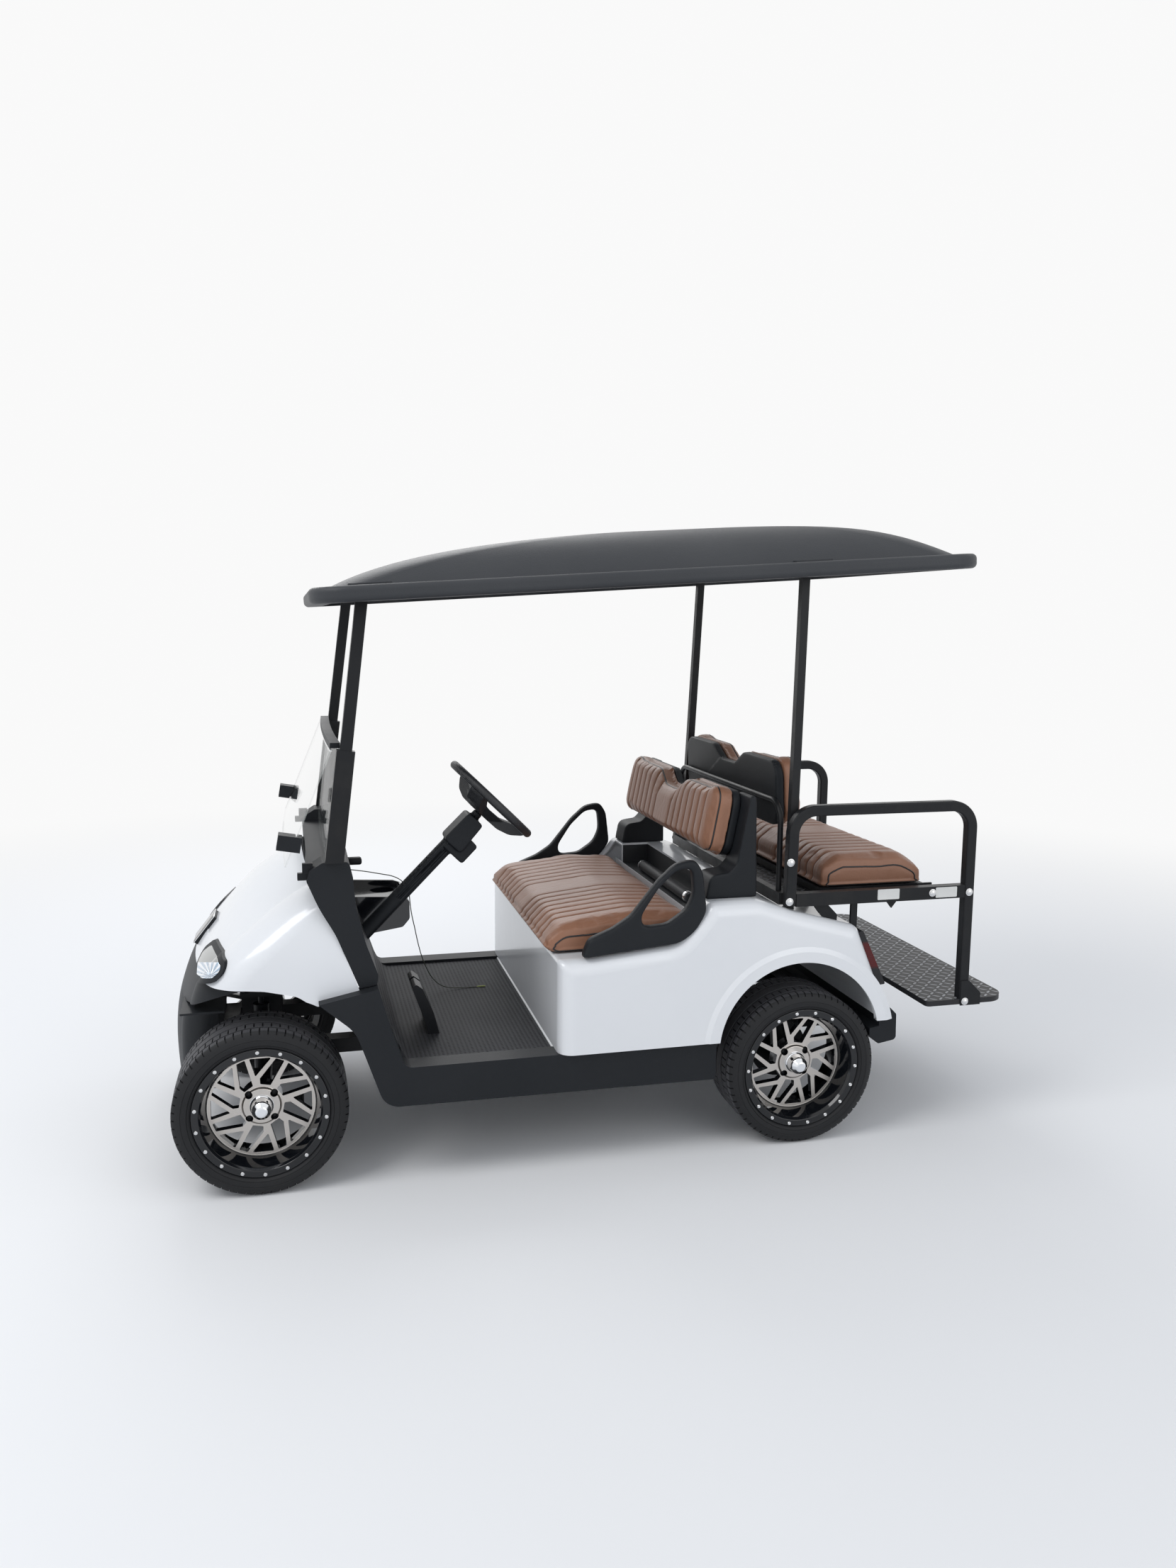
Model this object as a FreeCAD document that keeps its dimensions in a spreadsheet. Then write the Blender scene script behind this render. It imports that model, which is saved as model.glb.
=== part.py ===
import FreeCAD, Part
import math
import os
from FreeCAD import Placement, Rotation, Vector

# Golf cart for four with a flip seat at the back, in millimetres.
# X runs forward, Y to the driver's left, Z up from the ground, with the origin on the ground
# below the middle of the cart's length. Stations are given from the front or the rear axle.

SIZES = {
    "overall_length": 2692.0, "front_overhang": 270.0, "wheelbase": 1670.0,
    "body_half_width": 592.0, "hub_height": 250.0,
    # wheels
    "tyre_radius": 250.0, "tyre_width": 205.0, "tyre_shoulder": 14.0, "bead_radius": 186.0,
    "barrel_radius": 178.0, "barrel_wall": 9.0, "flange_radius": 195.0, "rim_width": 190.0,
    "front_wheel_y": 457.0, "rear_wheel_y": 493.0, "face_depth": 64.0, "face_radius": 156.0,
    "spoke_thickness": 22.0, "hub_radius": 57.0, "lug_circle": 101.6, "lug_hole_radius": 11.0,
    "cap_radius": 30.0, "cap_height": 50.0, "spindle_radius": 15.0, "running_gap": 0.3,
    "spoke_count": 8.0, "spoke_half_width": 6.5, "node_radius": 78.0, "node_lead": 10.0,
    "arm_spread": 15.0,
    # running gear
    "kingpin_y": 390.0, "kingpin_radius": 11.0, "knuckle_radius": 20.0, "knuckle_height": 96.0,
    "yoke_thickness": 12.0, "yoke_reach": 26.0, "beam_height": 44.0, "beam_depth": 50.0,
    "shock_radius": 24.0, "shock_y": 278.0, "shock_height": 250.0,
    "axle_tube_radius": 36.0, "axle_tube_end": 400.0, "motor_radius": 92.0, "motor_length": 300.0,
    "spring_y": 300.0, "spring_width": 50.0, "spring_length": 820.0,
    # chassis
    "rail_y": 190.0, "rail_width": 56.0, "rail_bottom": 290.0, "rail_height": 46.0,
    "cross_depth": 50.0, "floor_top": 350.0, "floor_thickness": 14.0, "floor_half_width": 500.0,
    "battery_length": 460.0, "battery_width": 760.0, "battery_height": 270.0,
    # rockers
    "rocker_thickness": 74.0, "rocker_half_width": 575.0, "front_arch_radius": 345.0,
    # cowl and bumper
    "cowl_wall": 5.0, "cowl_half_width": 535.0, "bumper_half_width": 470.0, "chin_half_width": 222.0,
    "chin_rear": 130.0, "bumper_split": 512.0,
    # rear body
    "body_wall": 5.0, "body_edge_radius": 46.0, "rear_arch_radius": 274.0, "rear_arch_x": 14.0,
    "rear_arch_z": 329.0, "flare_width": 34.0, "flare_height": 7.0, "riser_x": 798.0,
    # roof
    "roof_length": 2085.0, "roof_half_width": 592.0, "roof_rim": 46.0, "roof_wall": 6.0,
    "roof_pitch": 3.84, "roof_front_x": -170.0, "roof_front_z": 1702.0,
    # struts
    "strut_width": 34.0, "rear_strut_width": 26.0, "sleeve_width": 52.0, "strut_foot_y": 540.0, "strut_top_y": 460.0,
    # seats
    "seat_half_width": 500.0, "seat_hinge_x": 805.0, "seat_hinge_z": 640.0,
    "back_half_width": 470.0, "back_thickness": 62.0,
    # rear kit
    "kit_rail_y": 546.0, "kit_tube": 34.0, "kit_side_z": 775.0, "kit_side_height": 42.0,
    "rear_cushion_half_width": 478.0, "flip_x": -485.0, "flip_z": 800.0,
    "platform_z": 430.0, "kit_front_x": 46.0, "platform_half_width": 540.0,
    # steering
    "column_y": 250.0, "column_tilt": 45.6, "wheel_ring_radius": 158.0, "wheel_ring_tube": 13.0,
    "cord_radius": 1.6,
}

doc = FreeCAD.newDocument("GolfCart")
sheet = doc.addObject("Spreadsheet::Sheet", "Sizes")
for row, (alias, value) in enumerate(SIZES.items(), start=1):
    sheet.set(f"A{row}", alias)
    sheet.set(f"B{row}", str(value))
    sheet.setAlias(f"B{row}", alias)
doc.recompute()


class SheetReader:
    """Gives each size of the sheet under its own name."""

    def __getattr__(self, alias):
        return float(sheet.get(alias))


s = SheetReader()
front_axle_x = s.overall_length / 2 - s.front_overhang
rear_axle_x = front_axle_x - s.wheelbase
PARTS = []


def keep(part, label):
    """Names a sub-part after its file and puts it on the list that is written out."""
    part.Label = label
    PARTS.append(part)
    return part


def rounded(points):
    """Closed outline through (x, y, corner radius) points: straight runs joined by tangent arcs."""
    edges = []
    ends = []
    count = len(points)
    for index in range(count):
        before = Vector(*points[index - 1][:2], 0)
        corner = Vector(*points[index][:2], 0)
        after = Vector(*points[(index + 1) % count][:2], 0)
        radius = points[index][2] if len(points[index]) > 2 else 0
        to_before = (before - corner).normalize()
        to_after = (after - corner).normalize()
        half = to_before.getAngle(to_after) / 2
        if radius <= 0 or abs(half - math.pi / 2) < 1e-4:
            ends.append((corner, corner, None))
            continue
        back = radius / math.tan(half)
        start = corner + to_before * back
        end = corner + to_after * back
        middle = corner + (to_before + to_after).normalize() * (radius / math.sin(half))
        touch = middle + (corner - middle).normalize() * radius
        ends.append((start, end, touch))
    for index, (start, end, touch) in enumerate(ends):
        if touch is not None:
            edges.append(Part.Arc(start, touch, end))
        following = ends[(index + 1) % count][0]
        if (following - end).Length > 1e-6:
            edges.append(Part.LineSegment(end, following))
    return edges


def sketch(body, role, name, outlines):
    """A sketch on one of the body's own origin planes."""
    drawing = body.newObject("Sketcher::SketchObject", name)
    plane = [item for item in body.Origin.OriginFeatures if item.Role == role][0]
    drawing.AttachmentSupport = [(plane, "")]
    drawing.MapMode = "FlatFace"
    for outline in outlines:
        drawing.addGeometry(outline, False)
    return drawing


def new_body(label):
    return keep(doc.addObject("PartDesign::Body", label), label)


def place(part, x="0", y="0", z="0", rotation=None):
    """Puts a sub-part at a place written in the sheet's names."""
    if rotation is not None:
        part.Placement = Placement(Vector(), rotation)
    for axis, text in (("x", x), ("y", y), ("z", z)):
        part.setExpression(f"Placement.Base.{axis}", text)


FRONT = "(Sizes.overall_length / 2 - Sizes.front_overhang)"
REAR = "(Sizes.overall_length / 2 - Sizes.front_overhang - Sizes.wheelbase)"


def pad(body, name, role, outlines, length, centred=True):
    """Pads outlines by a length written in the sheet's names."""
    drawing = sketch(body, role, name + "Sketch", outlines)
    feature = body.newObject("PartDesign::Pad", name)
    feature.Profile = drawing
    feature.setExpression("Length", length)
    feature.Midplane = centred
    body.Tip = feature
    return feature


def pocket(body, name, role, outlines, length):
    """Cuts outlines both ways from the sketch's plane."""
    drawing = sketch(body, role, name + "Sketch", outlines)
    feature = body.newObject("PartDesign::Pocket", name)
    feature.Profile = drawing
    feature.setExpression("Length", length)
    feature.Midplane = True
    body.Tip = feature
    return feature


def revolve(body, name, outlines):
    """Turns an outline drawn as (radius, along the axis) about the body's own Z axis."""
    drawing = sketch(body, "XZ_Plane", name + "Sketch", outlines)
    feature = body.newObject("PartDesign::Revolution", name)
    feature.Profile = drawing
    feature.ReferenceAxis = (drawing, ["V_Axis"])
    feature.Angle = 360
    body.Tip = feature
    return feature


def side_piece(label, points, width, x="0", y="0", z="0"):
    """A piece drawn in side view as (forward, up, corner radius) and padded across the cart."""
    body = new_body(label)
    pad(body, "Side", "XZ_Plane", [rounded(points)], width)
    place(body, x, y, z)
    return body


def shape_piece(label, shape):
    """A piece whose form is set with the functions of this file."""
    part = keep(doc.addObject("Part::Feature", label), label)
    part.Shape = shape
    return part


def face_of(points, plane="XZ", level=0.0):
    """A flat face from (a, b, corner radius) points in plane XY, XZ or YZ at the given level."""
    wire = Part.Wire([edge.toShape() for edge in rounded(points)])
    turn = {"XY": Rotation(), "XZ": Rotation(Vector(1, 0, 0), 90),
            "YZ": Rotation(Vector(1, 1, 1), 120)}[plane]
    shift = {"XY": Vector(0, 0, level), "XZ": Vector(0, level, 0), "YZ": Vector(level, 0, 0)}[plane]
    wire.Placement = Placement(shift, turn)
    return Part.Face(wire)


def slab(points, plane, start, end):
    """Straight prism of a flat outline between two levels of its plane."""
    direction = {"XY": Vector(0, 0, 1), "XZ": Vector(0, 1, 0), "YZ": Vector(1, 0, 0)}[plane]
    return face_of(points, plane, start).extrude(direction * (end - start))


def block(x0, x1, y0, y1, z0, z1):
    return Part.makeBox(x1 - x0, y1 - y0, z1 - z0, Vector(x0, y0, z0))


def rod(start, end, radius):
    start = Vector(*start)
    end = Vector(*end)
    return Part.makeCylinder(radius, (end - start).Length, start, end - start)


def bend_path(points, radius):
    """Path of straight runs with a tangent arc at each inner point."""
    points = [Vector(*point) for point in points]
    edges = []
    last = points[0]
    for index in range(1, len(points) - 1):
        corner = points[index]
        to_before = (points[index - 1] - corner).normalize()
        to_after = (points[index + 1] - corner).normalize()
        half = to_before.getAngle(to_after) / 2
        bend = radius[index - 1] if isinstance(radius, (list, tuple)) else radius
        back = bend / math.tan(half)
        start = corner + to_before * back
        end = corner + to_after * back
        middle = corner + (to_before + to_after).normalize() * (bend / math.sin(half))
        touch = middle + (corner - middle).normalize() * bend
        edges.append(Part.LineSegment(last, start).toShape())
        edges.append(Part.Arc(start, touch, end).toShape())
        last = end
    edges.append(Part.LineSegment(last, points[-1]).toShape())
    return Part.Wire(edges)


def tube(points, bend, radius):
    """Round bar along straight runs and bends."""
    path = bend_path(points, bend)
    start = Vector(*points[0])
    along = Vector(*points[1]) - start
    ring = Part.Wire([Part.Circle(start, along, radius).toShape()])
    return path.makePipeShell([ring], True, False)


def square_tube(points, bend, width, depth, across):
    """Rectangular bar along a bent path; across is the direction of its width."""
    path = bend_path(points, bend)
    start = Vector(*points[0])
    along = (Vector(*points[1]) - start).normalize()
    side = Vector(*across).normalize()
    up = along.cross(side).normalize()
    corners = [start + side * (width / 2 * a) + up * (depth / 2 * b)
               for a, b in ((1, 1), (-1, 1), (-1, -1), (1, -1))]
    ring = Part.makePolygon(corners + corners[:1])
    return path.makePipeShell([ring], True, False)


def joined(shapes):
    result = shapes[0].fuse(shapes[1:]) if len(shapes) > 1 else shapes[0]
    return result.removeSplitter()


def both_sides(shape):
    """The shape and its mirror image on the other side of the cart."""
    return Part.makeCompound([shape, shape.mirror(Vector(), Vector(0, 1, 0))])


def largest(shape):
    return max(shape.Solids, key=lambda solid: solid.Volume)


# Wheels: a tyre and a one-piece rim for each corner, drawn about their own axle line
WHEELS = (("front_left", 1, FRONT, "Sizes.front_wheel_y"), ("front_right", -1, FRONT, "Sizes.front_wheel_y"),
          ("rear_left", 1, REAR, "Sizes.rear_wheel_y"), ("rear_right", -1, REAR, "Sizes.rear_wheel_y"))


def tyre_outline():
    half = s.tyre_width / 2
    shoulder = s.tyre_shoulder
    bead_half = s.rim_width / 2 - 14
    inner = s.barrel_radius + s.running_gap
    side = [(inner, bead_half, 0), (s.bead_radius + 8, bead_half + 2, 3), (s.bead_radius + 17, half - 2, 10),
            (s.tyre_radius - 26, half, 30), (s.tyre_radius - 1.5, half - shoulder, 12)]
    return rounded([(radius, -across, corner) for radius, across, corner in side]
                   + [(s.tyre_radius, 0, 400)] + side[::-1])


def polar(radius, angle):
    return (radius * math.cos(math.radians(angle)), radius * math.sin(math.radians(angle)))


def spoke_windows():
    """The openings of one spoke: the gap between its two arms and the gap to the next spoke."""
    rim_radius = s.face_radius - 9
    arm = math.degrees(s.spoke_half_width / rim_radius)
    root = math.degrees(s.spoke_half_width / s.node_radius) + 3
    pitch = 360 / s.spoke_count
    fork = [(*polar(s.node_radius + 12, s.node_lead), 2), (*polar(rim_radius, -s.arm_spread + arm), 3),
            (*polar(rim_radius, s.arm_spread - arm), 3)]
    valley = [(*polar(rim_radius, s.arm_spread + arm), 3),
              (*polar(rim_radius, pitch - s.arm_spread - arm), 3),
              (*polar(s.node_radius + 4, pitch + s.node_lead - root), 3),
              (*polar(s.hub_radius + 8, pitch + s.node_lead - root), 3),
              (*polar(s.hub_radius + 8, s.node_lead + root + 3), 3)]
    return [rounded(fork), rounded(valley)]


def rim_outline():
    half = s.rim_width / 2
    outer = s.barrel_radius
    inner = outer - s.barrel_wall
    face = half - s.face_depth
    back = face - s.spoke_thickness
    bore = s.spindle_radius + s.running_gap
    return rounded([(bore, back - 34, 0), (s.hub_radius + 6, back - 34, 3), (s.hub_radius + 6, back, 0),
                    (inner, back - 2, 4), (inner - 2, -half + 16, 8), (s.flange_radius - 5, -half, 2),
                    (s.flange_radius, -half, 2), (s.flange_radius, -half + 8, 2), (outer, -half + 11, 3),
                    (outer, half - 11, 3), (s.flange_radius, half - 8, 2), (s.flange_radius, half, 3),
                    (outer - 4, half, 3), (outer - 10, half - 10, 6), (s.face_radius, face, 5),
                    (s.hub_radius, face, 3), (s.hub_radius - 5, face + 7, 3), (bore, face + 7, 0)])


def cap_outline():
    half = s.rim_width / 2
    base = half - s.face_depth + 7
    return rounded([(0, base - 4, 0), (s.cap_radius + 4, base - 4, 0), (s.cap_radius + 4, base + 4, 2),
                    (s.cap_radius, base + 8, 2), (s.cap_radius - 2, base + s.cap_height * 0.7, 10),
                    (s.cap_radius * 0.5, base + s.cap_height, 8), (0, base + s.cap_height, 0)])


for name, side, axle, track in WHEELS:
    turn = Rotation(Vector(1, 0, 0), -90 * side)
    y_place = track if side > 0 else f"-{track}"
    tyre = new_body(f"tyre_{name}")
    revolve(tyre, "Carcass", [tyre_outline()])
    place(tyre, axle, y_place, "Sizes.hub_height", turn)
    rim = new_body(f"rim_{name}")
    revolve(rim, "Barrel", [rim_outline()])
    windows = pocket(rim, "Windows", "XY_Plane", spoke_windows(), "Sizes.rim_width * 2")
    spokes = rim.newObject("PartDesign::PolarPattern", "Spokes")
    spokes.Originals = [windows]
    spokes.Axis = (rim.Origin.OriginFeatures[2], [""])
    spokes.Angle = 360
    spokes.setExpression("Occurrences", "Sizes.spoke_count")
    rim.Tip = spokes
    lugs = [Part.Circle(Vector(*polar(s.lug_circle / 2, 45 + 90 * index), 0), Vector(0, 0, 1), s.lug_hole_radius)
            for index in range(4)]
    pocket(rim, "LugHoles", "XY_Plane", [lugs], "Sizes.rim_width")
    revolve(rim, "Cap", [cap_outline()])
    place(rim, axle, y_place, "Sizes.hub_height", turn)


# Running gear: knuckles on kingpins, a front beam with shocks, the driven rear axle and its springs


def knuckle(side):
    """Kingpin barrel, spindle and steering arm of one front wheel."""
    pin_y = s.kingpin_y * side
    wheel_y = s.front_wheel_y * side
    height = s.hub_height
    barrel = rod((front_axle_x, pin_y, height - s.knuckle_height / 2),
                 (front_axle_x, pin_y, height + s.knuckle_height / 2), s.knuckle_radius)
    face = wheel_y + side * (s.rim_width / 2 - s.face_depth)
    spindle = rod((front_axle_x, pin_y, height), (front_axle_x, face - side * 2, height), s.spindle_radius)
    back = face - side * (s.spoke_thickness + 34 + 6)
    shoulder = rod((front_axle_x, pin_y, height), (front_axle_x, back, height), s.spindle_radius + 9)
    arm = block(front_axle_x - 120, front_axle_x, pin_y - 11, pin_y + 11, height - 30, height - 16)
    ball = rod((front_axle_x - 108, pin_y, height - 46), (front_axle_x - 108, pin_y, height - 16), 13)
    pin_hole = rod((front_axle_x, pin_y, 0), (front_axle_x, pin_y, 2 * height),
                   s.kingpin_radius + s.running_gap)
    return joined([barrel, spindle, shoulder, arm, ball]).cut(pin_hole)


for name, side in (("left", 1), ("right", -1)):
    shape_piece(f"knuckle_{name}", knuckle(side))


def front_suspension():
    """Beam axle with a yoke and kingpin at each end, shocks up to the chassis and a steering rack."""
    height = s.hub_height
    depth = s.beam_depth
    gap = s.running_gap
    yoke_half = s.knuckle_height / 2 + gap
    plate = s.yoke_thickness
    reach = s.kingpin_y + s.yoke_reach
    root = s.kingpin_y - s.knuckle_radius - 14
    beam = block(front_axle_x - depth / 2, front_axle_x + depth / 2, -root, root,
                 height - s.beam_height / 2, height + s.beam_height / 2)
    pieces = [beam]
    for side in (1, -1):
        inner, outer = sorted((root * side, reach * side))
        for low in (height + yoke_half, height - yoke_half - plate):
            pieces.append(block(front_axle_x - depth / 2, front_axle_x + depth / 2, inner, outer,
                                low, low + plate))
        wall = sorted(((root - 12) * side, root * side))
        pieces.append(block(front_axle_x - depth / 2, front_axle_x + depth / 2, *wall,
                            height - yoke_half - plate, height + yoke_half + plate))
        pin_y = s.kingpin_y * side
        pieces.append(rod((front_axle_x, pin_y, height - yoke_half - plate - 6),
                          (front_axle_x, pin_y, height + yoke_half + plate + 6), s.kingpin_radius))
        foot = height + s.beam_height / 2
        pieces.append(rod((front_axle_x, s.shock_y * side, foot),
                          (front_axle_x, s.shock_y * side, foot + s.shock_height), 9))
        pieces.append(rod((front_axle_x, s.shock_y * side, foot + 14),
                          (front_axle_x, s.shock_y * side, foot + s.shock_height - 30), s.shock_radius))
    return joined(pieces)


shape_piece("front_suspension", front_suspension())


def rear_axle():
    """Axle tubes with backing plates, the gearcase and the drive motor as one plain mass."""
    height = s.hub_height
    end = s.axle_tube_end
    face = s.rear_wheel_y + s.rim_width / 2 - s.face_depth
    back = face - s.spoke_thickness - 34 - 6
    pieces = [rod((rear_axle_x, -end, height), (rear_axle_x, end, height), s.axle_tube_radius),
              rod((rear_axle_x, -face + 2, height), (rear_axle_x, face - 2, height), s.spindle_radius),
              rod((rear_axle_x, -s.motor_length / 2, height), (rear_axle_x, s.motor_length / 2, height),
                  s.motor_radius)]
    for side in (1, -1):
        pieces.append(rod((rear_axle_x, (end - 14) * side, height), (rear_axle_x, end * side, height), 96))
        pieces.append(rod((rear_axle_x, end * side, height), (rear_axle_x, back * side, height), 30))
    return joined(pieces)


shape_piece("rear_axle", rear_axle())


def rear_springs():
    """A leaf pack over each side of the axle, hung from the chassis by shackles, and its shock."""
    base = s.hub_height + s.axle_tube_radius + s.running_gap
    half = s.spring_length / 2
    leaf = slab([(-half, 0, 0), (half, 0, 0), (half, 7, 0), (half * 0.62, 7, 0), (half * 0.62, 14, 0),
                 (half * 0.3, 14, 0), (half * 0.3, 21, 0), (-half * 0.3, 21, 0), (-half * 0.3, 14, 0),
                 (-half * 0.62, 14, 0), (-half * 0.62, 7, 0), (-half, 7, 0)],
                "XZ", s.spring_y - s.spring_width / 2, s.spring_y + s.spring_width / 2)
    leaf.translate(Vector(rear_axle_x, 0, base))
    eyes = [rod((rear_axle_x + place_x, s.spring_y - 25, base + 4),
                (rear_axle_x + place_x, s.spring_y + 25, base + 4), 16) for place_x in (-half, half)]
    hangers = [block(rear_axle_x + place_x - 12, rear_axle_x + place_x + 12, s.spring_y - 25,
                     s.spring_y + 25, base + 4, s.rail_bottom + s.rail_height) for place_x in (-half, half)]
    link = [block(rear_axle_x + place_x - 12, rear_axle_x + place_x + 12, s.rail_y + s.rail_width / 2,
                  s.spring_y + 25, s.rail_bottom + 20, s.rail_bottom + s.rail_height)
            for place_x in (-half, half)]
    return both_sides(joined([leaf] + eyes + hangers + link))


shape_piece("rear_springs", rear_springs())

# Chassis: two long rails, cross-members out to the rockers, towers for the body, and the floor


def chassis():
    bottom = s.rail_bottom
    top = bottom + s.rail_height
    deep = s.cross_depth
    nose = front_axle_x + s.chin_rear - s.running_gap
    tail = rear_axle_x - 243.7
    pieces = [block(tail, nose, side * s.rail_y - s.rail_width / 2, side * s.rail_y + s.rail_width / 2,
                    bottom, top) for side in (1, -1)]
    # cross-members: (distance behind the front axle, how far the underside is raised)
    for back, lift in ((440, 0), (850, 0), (1310, 6)):
        pieces.append(block(front_axle_x - back - deep / 2, front_axle_x - back + deep / 2, -495, 495,
                            bottom + lift, top))
    for place_x in (nose - deep, tail):
        pieces.append(block(place_x, place_x + deep, -s.rail_y, s.rail_y, bottom, top))
    # shock towers over the front beam
    tower_top = s.hub_height + s.beam_height / 2 + s.shock_height
    for side in (1, -1):
        inner, outer = sorted((side * (s.rail_y - s.rail_width / 2), side * (s.rail_y - 8)))
        pieces.append(block(front_axle_x - 60, front_axle_x + 60, inner, outer, top, tower_top + 40))
        inner, outer = sorted((side * (s.rail_y - s.rail_width / 2), side * (s.shock_y + 34)))
        pieces.append(block(front_axle_x - 60, front_axle_x + 60, inner, outer,
                            tower_top + s.running_gap, tower_top + 14))
    return joined(pieces)


shape_piece("chassis_frame", chassis())

tray_bottom = s.rail_bottom + s.rail_height
battery = keep(doc.addObject("Part::Box", "battery_pack"), "battery_pack")
battery.setExpression("Length", "Sizes.battery_length")
battery.setExpression("Width", "Sizes.battery_width")
battery.setExpression("Height", "Sizes.battery_height")
place(battery, f"{REAR} + 290", "-Sizes.battery_width / 2", "Sizes.rail_bottom + Sizes.rail_height")

# side view of the floor: (ahead of the rear axle or the front axle, height, corner radius)
floor_back = rear_axle_x + s.riser_x - 6
floor_front = front_axle_x - 425
toe_x = front_axle_x - 330
toe_z = 560
thick = s.floor_thickness
floor = [(floor_back, s.floor_top - thick, 0), (floor_front + 10, s.floor_top - thick, 40),
         (toe_x + thick, toe_z, 0), (toe_x, toe_z, 0), (floor_front, s.floor_top, 40),
         (floor_back, s.floor_top, 0)]
side_piece("floor_mat", floor, "Sizes.floor_half_width * 2")

# rocker outline in side view: (from the front axle), then (from the rear axle)
rocker_front = [(-168, 569, 0), (-270, 480, 120), (-322, 330, 70), (-352, 243, 62)]
rocker_rear = [(290, 236, 10), (290, 360, 0)]
rocker_inner = [(-412, 360, 30), (-372, 480, 60), (-338, 604, 0), (-290, 594, 0)]
rocker = [(front_axle_x + x, z, r) for x, z, r in rocker_front]
rocker += [(rear_axle_x + x, z, r) for x, z, r in rocker_rear]
rocker += [(front_axle_x + x, z, r) for x, z, r in rocker_inner]
inside = s.floor_half_width + s.running_gap
# lower edge of the cowl's side, from the front axle: (distance, height, corner radius)
SKIRT = [(-286, 591, 0), (-153, 548, 0)]
lap = [(front_axle_x + x, z - s.running_gap, r) for x, z, r in SKIRT + [(-153, 700, 0), (-286, 700, 0)]]
rocker_side = slab(rocker, "XZ", inside, s.rocker_half_width)
rocker_side = rocker_side.cut(slab(lap, "XZ", 0, s.cowl_half_width + s.running_gap))
shape_piece("rocker_panels", both_sides(rocker_side))

# Front body: white cowl over the wheels, black bumper below it and the black dash behind it


def plan_section(level, rear, front, half, corner, bulge):
    """U-shaped plan outline at a height: straight back, straight sides, rounded bulging front."""
    top = Vector(front, 0, level)
    side_end = front - bulge - corner
    left = [Vector(rear, half, level), Vector(side_end, half, level)]
    nose = Vector(front - bulge, half - corner, level)
    turn = Vector(side_end + corner * math.sin(math.pi / 4), half - corner + corner * math.cos(math.pi / 4),
                  level)
    edges = [Part.LineSegment(left[0], left[1]).toShape(),
             Part.Arc(left[1], turn, nose).toShape(),
             Part.Arc(nose, top, Vector(nose.x, -nose.y, level)).toShape(),
             Part.Arc(Vector(nose.x, -nose.y, level), Vector(turn.x, -turn.y, level),
                      Vector(side_end, -half, level)).toShape(),
             Part.LineSegment(Vector(side_end, -half, level), Vector(rear, -half, level)).toShape(),
             Part.LineSegment(Vector(rear, -half, level), left[0]).toShape()]
    return Part.Wire(edges)


# cowl in plan at rising heights; the nose is measured ahead of the front axle
# seam between the cowl and the bumper, and the cowl's sections: (height, nose, half width, corner, bulge)
SEAM = [(-165, 546, 0), (-109, 586, 60), (-18, 608, 150), (34, 613, 200), (120, 618, 60), (158, 624, 10),
        (164, 642, 0), (146, 676, 0)]
COWL = ((540, 205, 0, 120, 34), (640, 185, 0, 125, 38), (740, 110, -10, 130, 64), (820, 42, -36, 125, 96),
        (880, -38, -76, 112, 120), (925, -108, -124, 84, 128), (950, -156, -180, 60, 60))


def cowl_solid(inset):
    rear = front_axle_x - 390
    wires = [plan_section(level - inset * (index == len(COWL) - 1), rear, front_axle_x + nose - inset,
                          s.cowl_half_width + half - inset, corner, bulge)
             for index, (level, nose, half, corner, bulge) in enumerate(COWL)]
    return Part.makeLoft(wires, True, False)


def front_cowl():
    shell = cowl_solid(0).cut(cowl_solid(s.cowl_wall))
    # rear edge in side view, from the foot of the cowl up to the windscreen
    behind = [(-400, 500, 0), (-286, 500, 0), (-286, 591, 0), (-224, 755, 300), (-179, 837, 400),
              (-140, 922, 0), (-120, 980, 0), (-400, 980, 0)]
    wide = s.cowl_half_width + 20
    shell = shell.cut(slab([(front_axle_x + x, z, r) for x, z, r in behind], "XZ", -wide, wide))
    arch = rod((front_axle_x, -wide, s.hub_height), (front_axle_x, wide, s.hub_height), s.front_arch_radius)
    shell = shell.cut(arch)
    low = [(-300, 546, 0)] + SEAM + [(300, 676, 0), (300, 400, 0), (-300, 400, 0)]
    shell = shell.cut(slab([(front_axle_x + x, z, r) for x, z, r in low], "XZ", -wide, wide))
    skirt = SKIRT + [(-153, 400, 0), (-286, 400, 0)]
    shell = shell.cut(slab([(front_axle_x + x, z, r) for x, z, r in skirt], "XZ", -wide, wide))
    return largest(shell)


shape_piece("front_cowl", front_cowl())

# bumper in plan at rising heights: (height, nose ahead of the axle, corner radius, bulge)
BUMPER = ((512, 245, 120, 40), (560, 229, 120, 38), (610, 206, 120, 36), (655, 178, 120, 40), (678, 162, 120, 46))
CHIN = ((208, 262, 60, 20), (280, 268.3, 70, 22), (400, 267, 80, 22), (512, 245, 90, 20))


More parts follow.
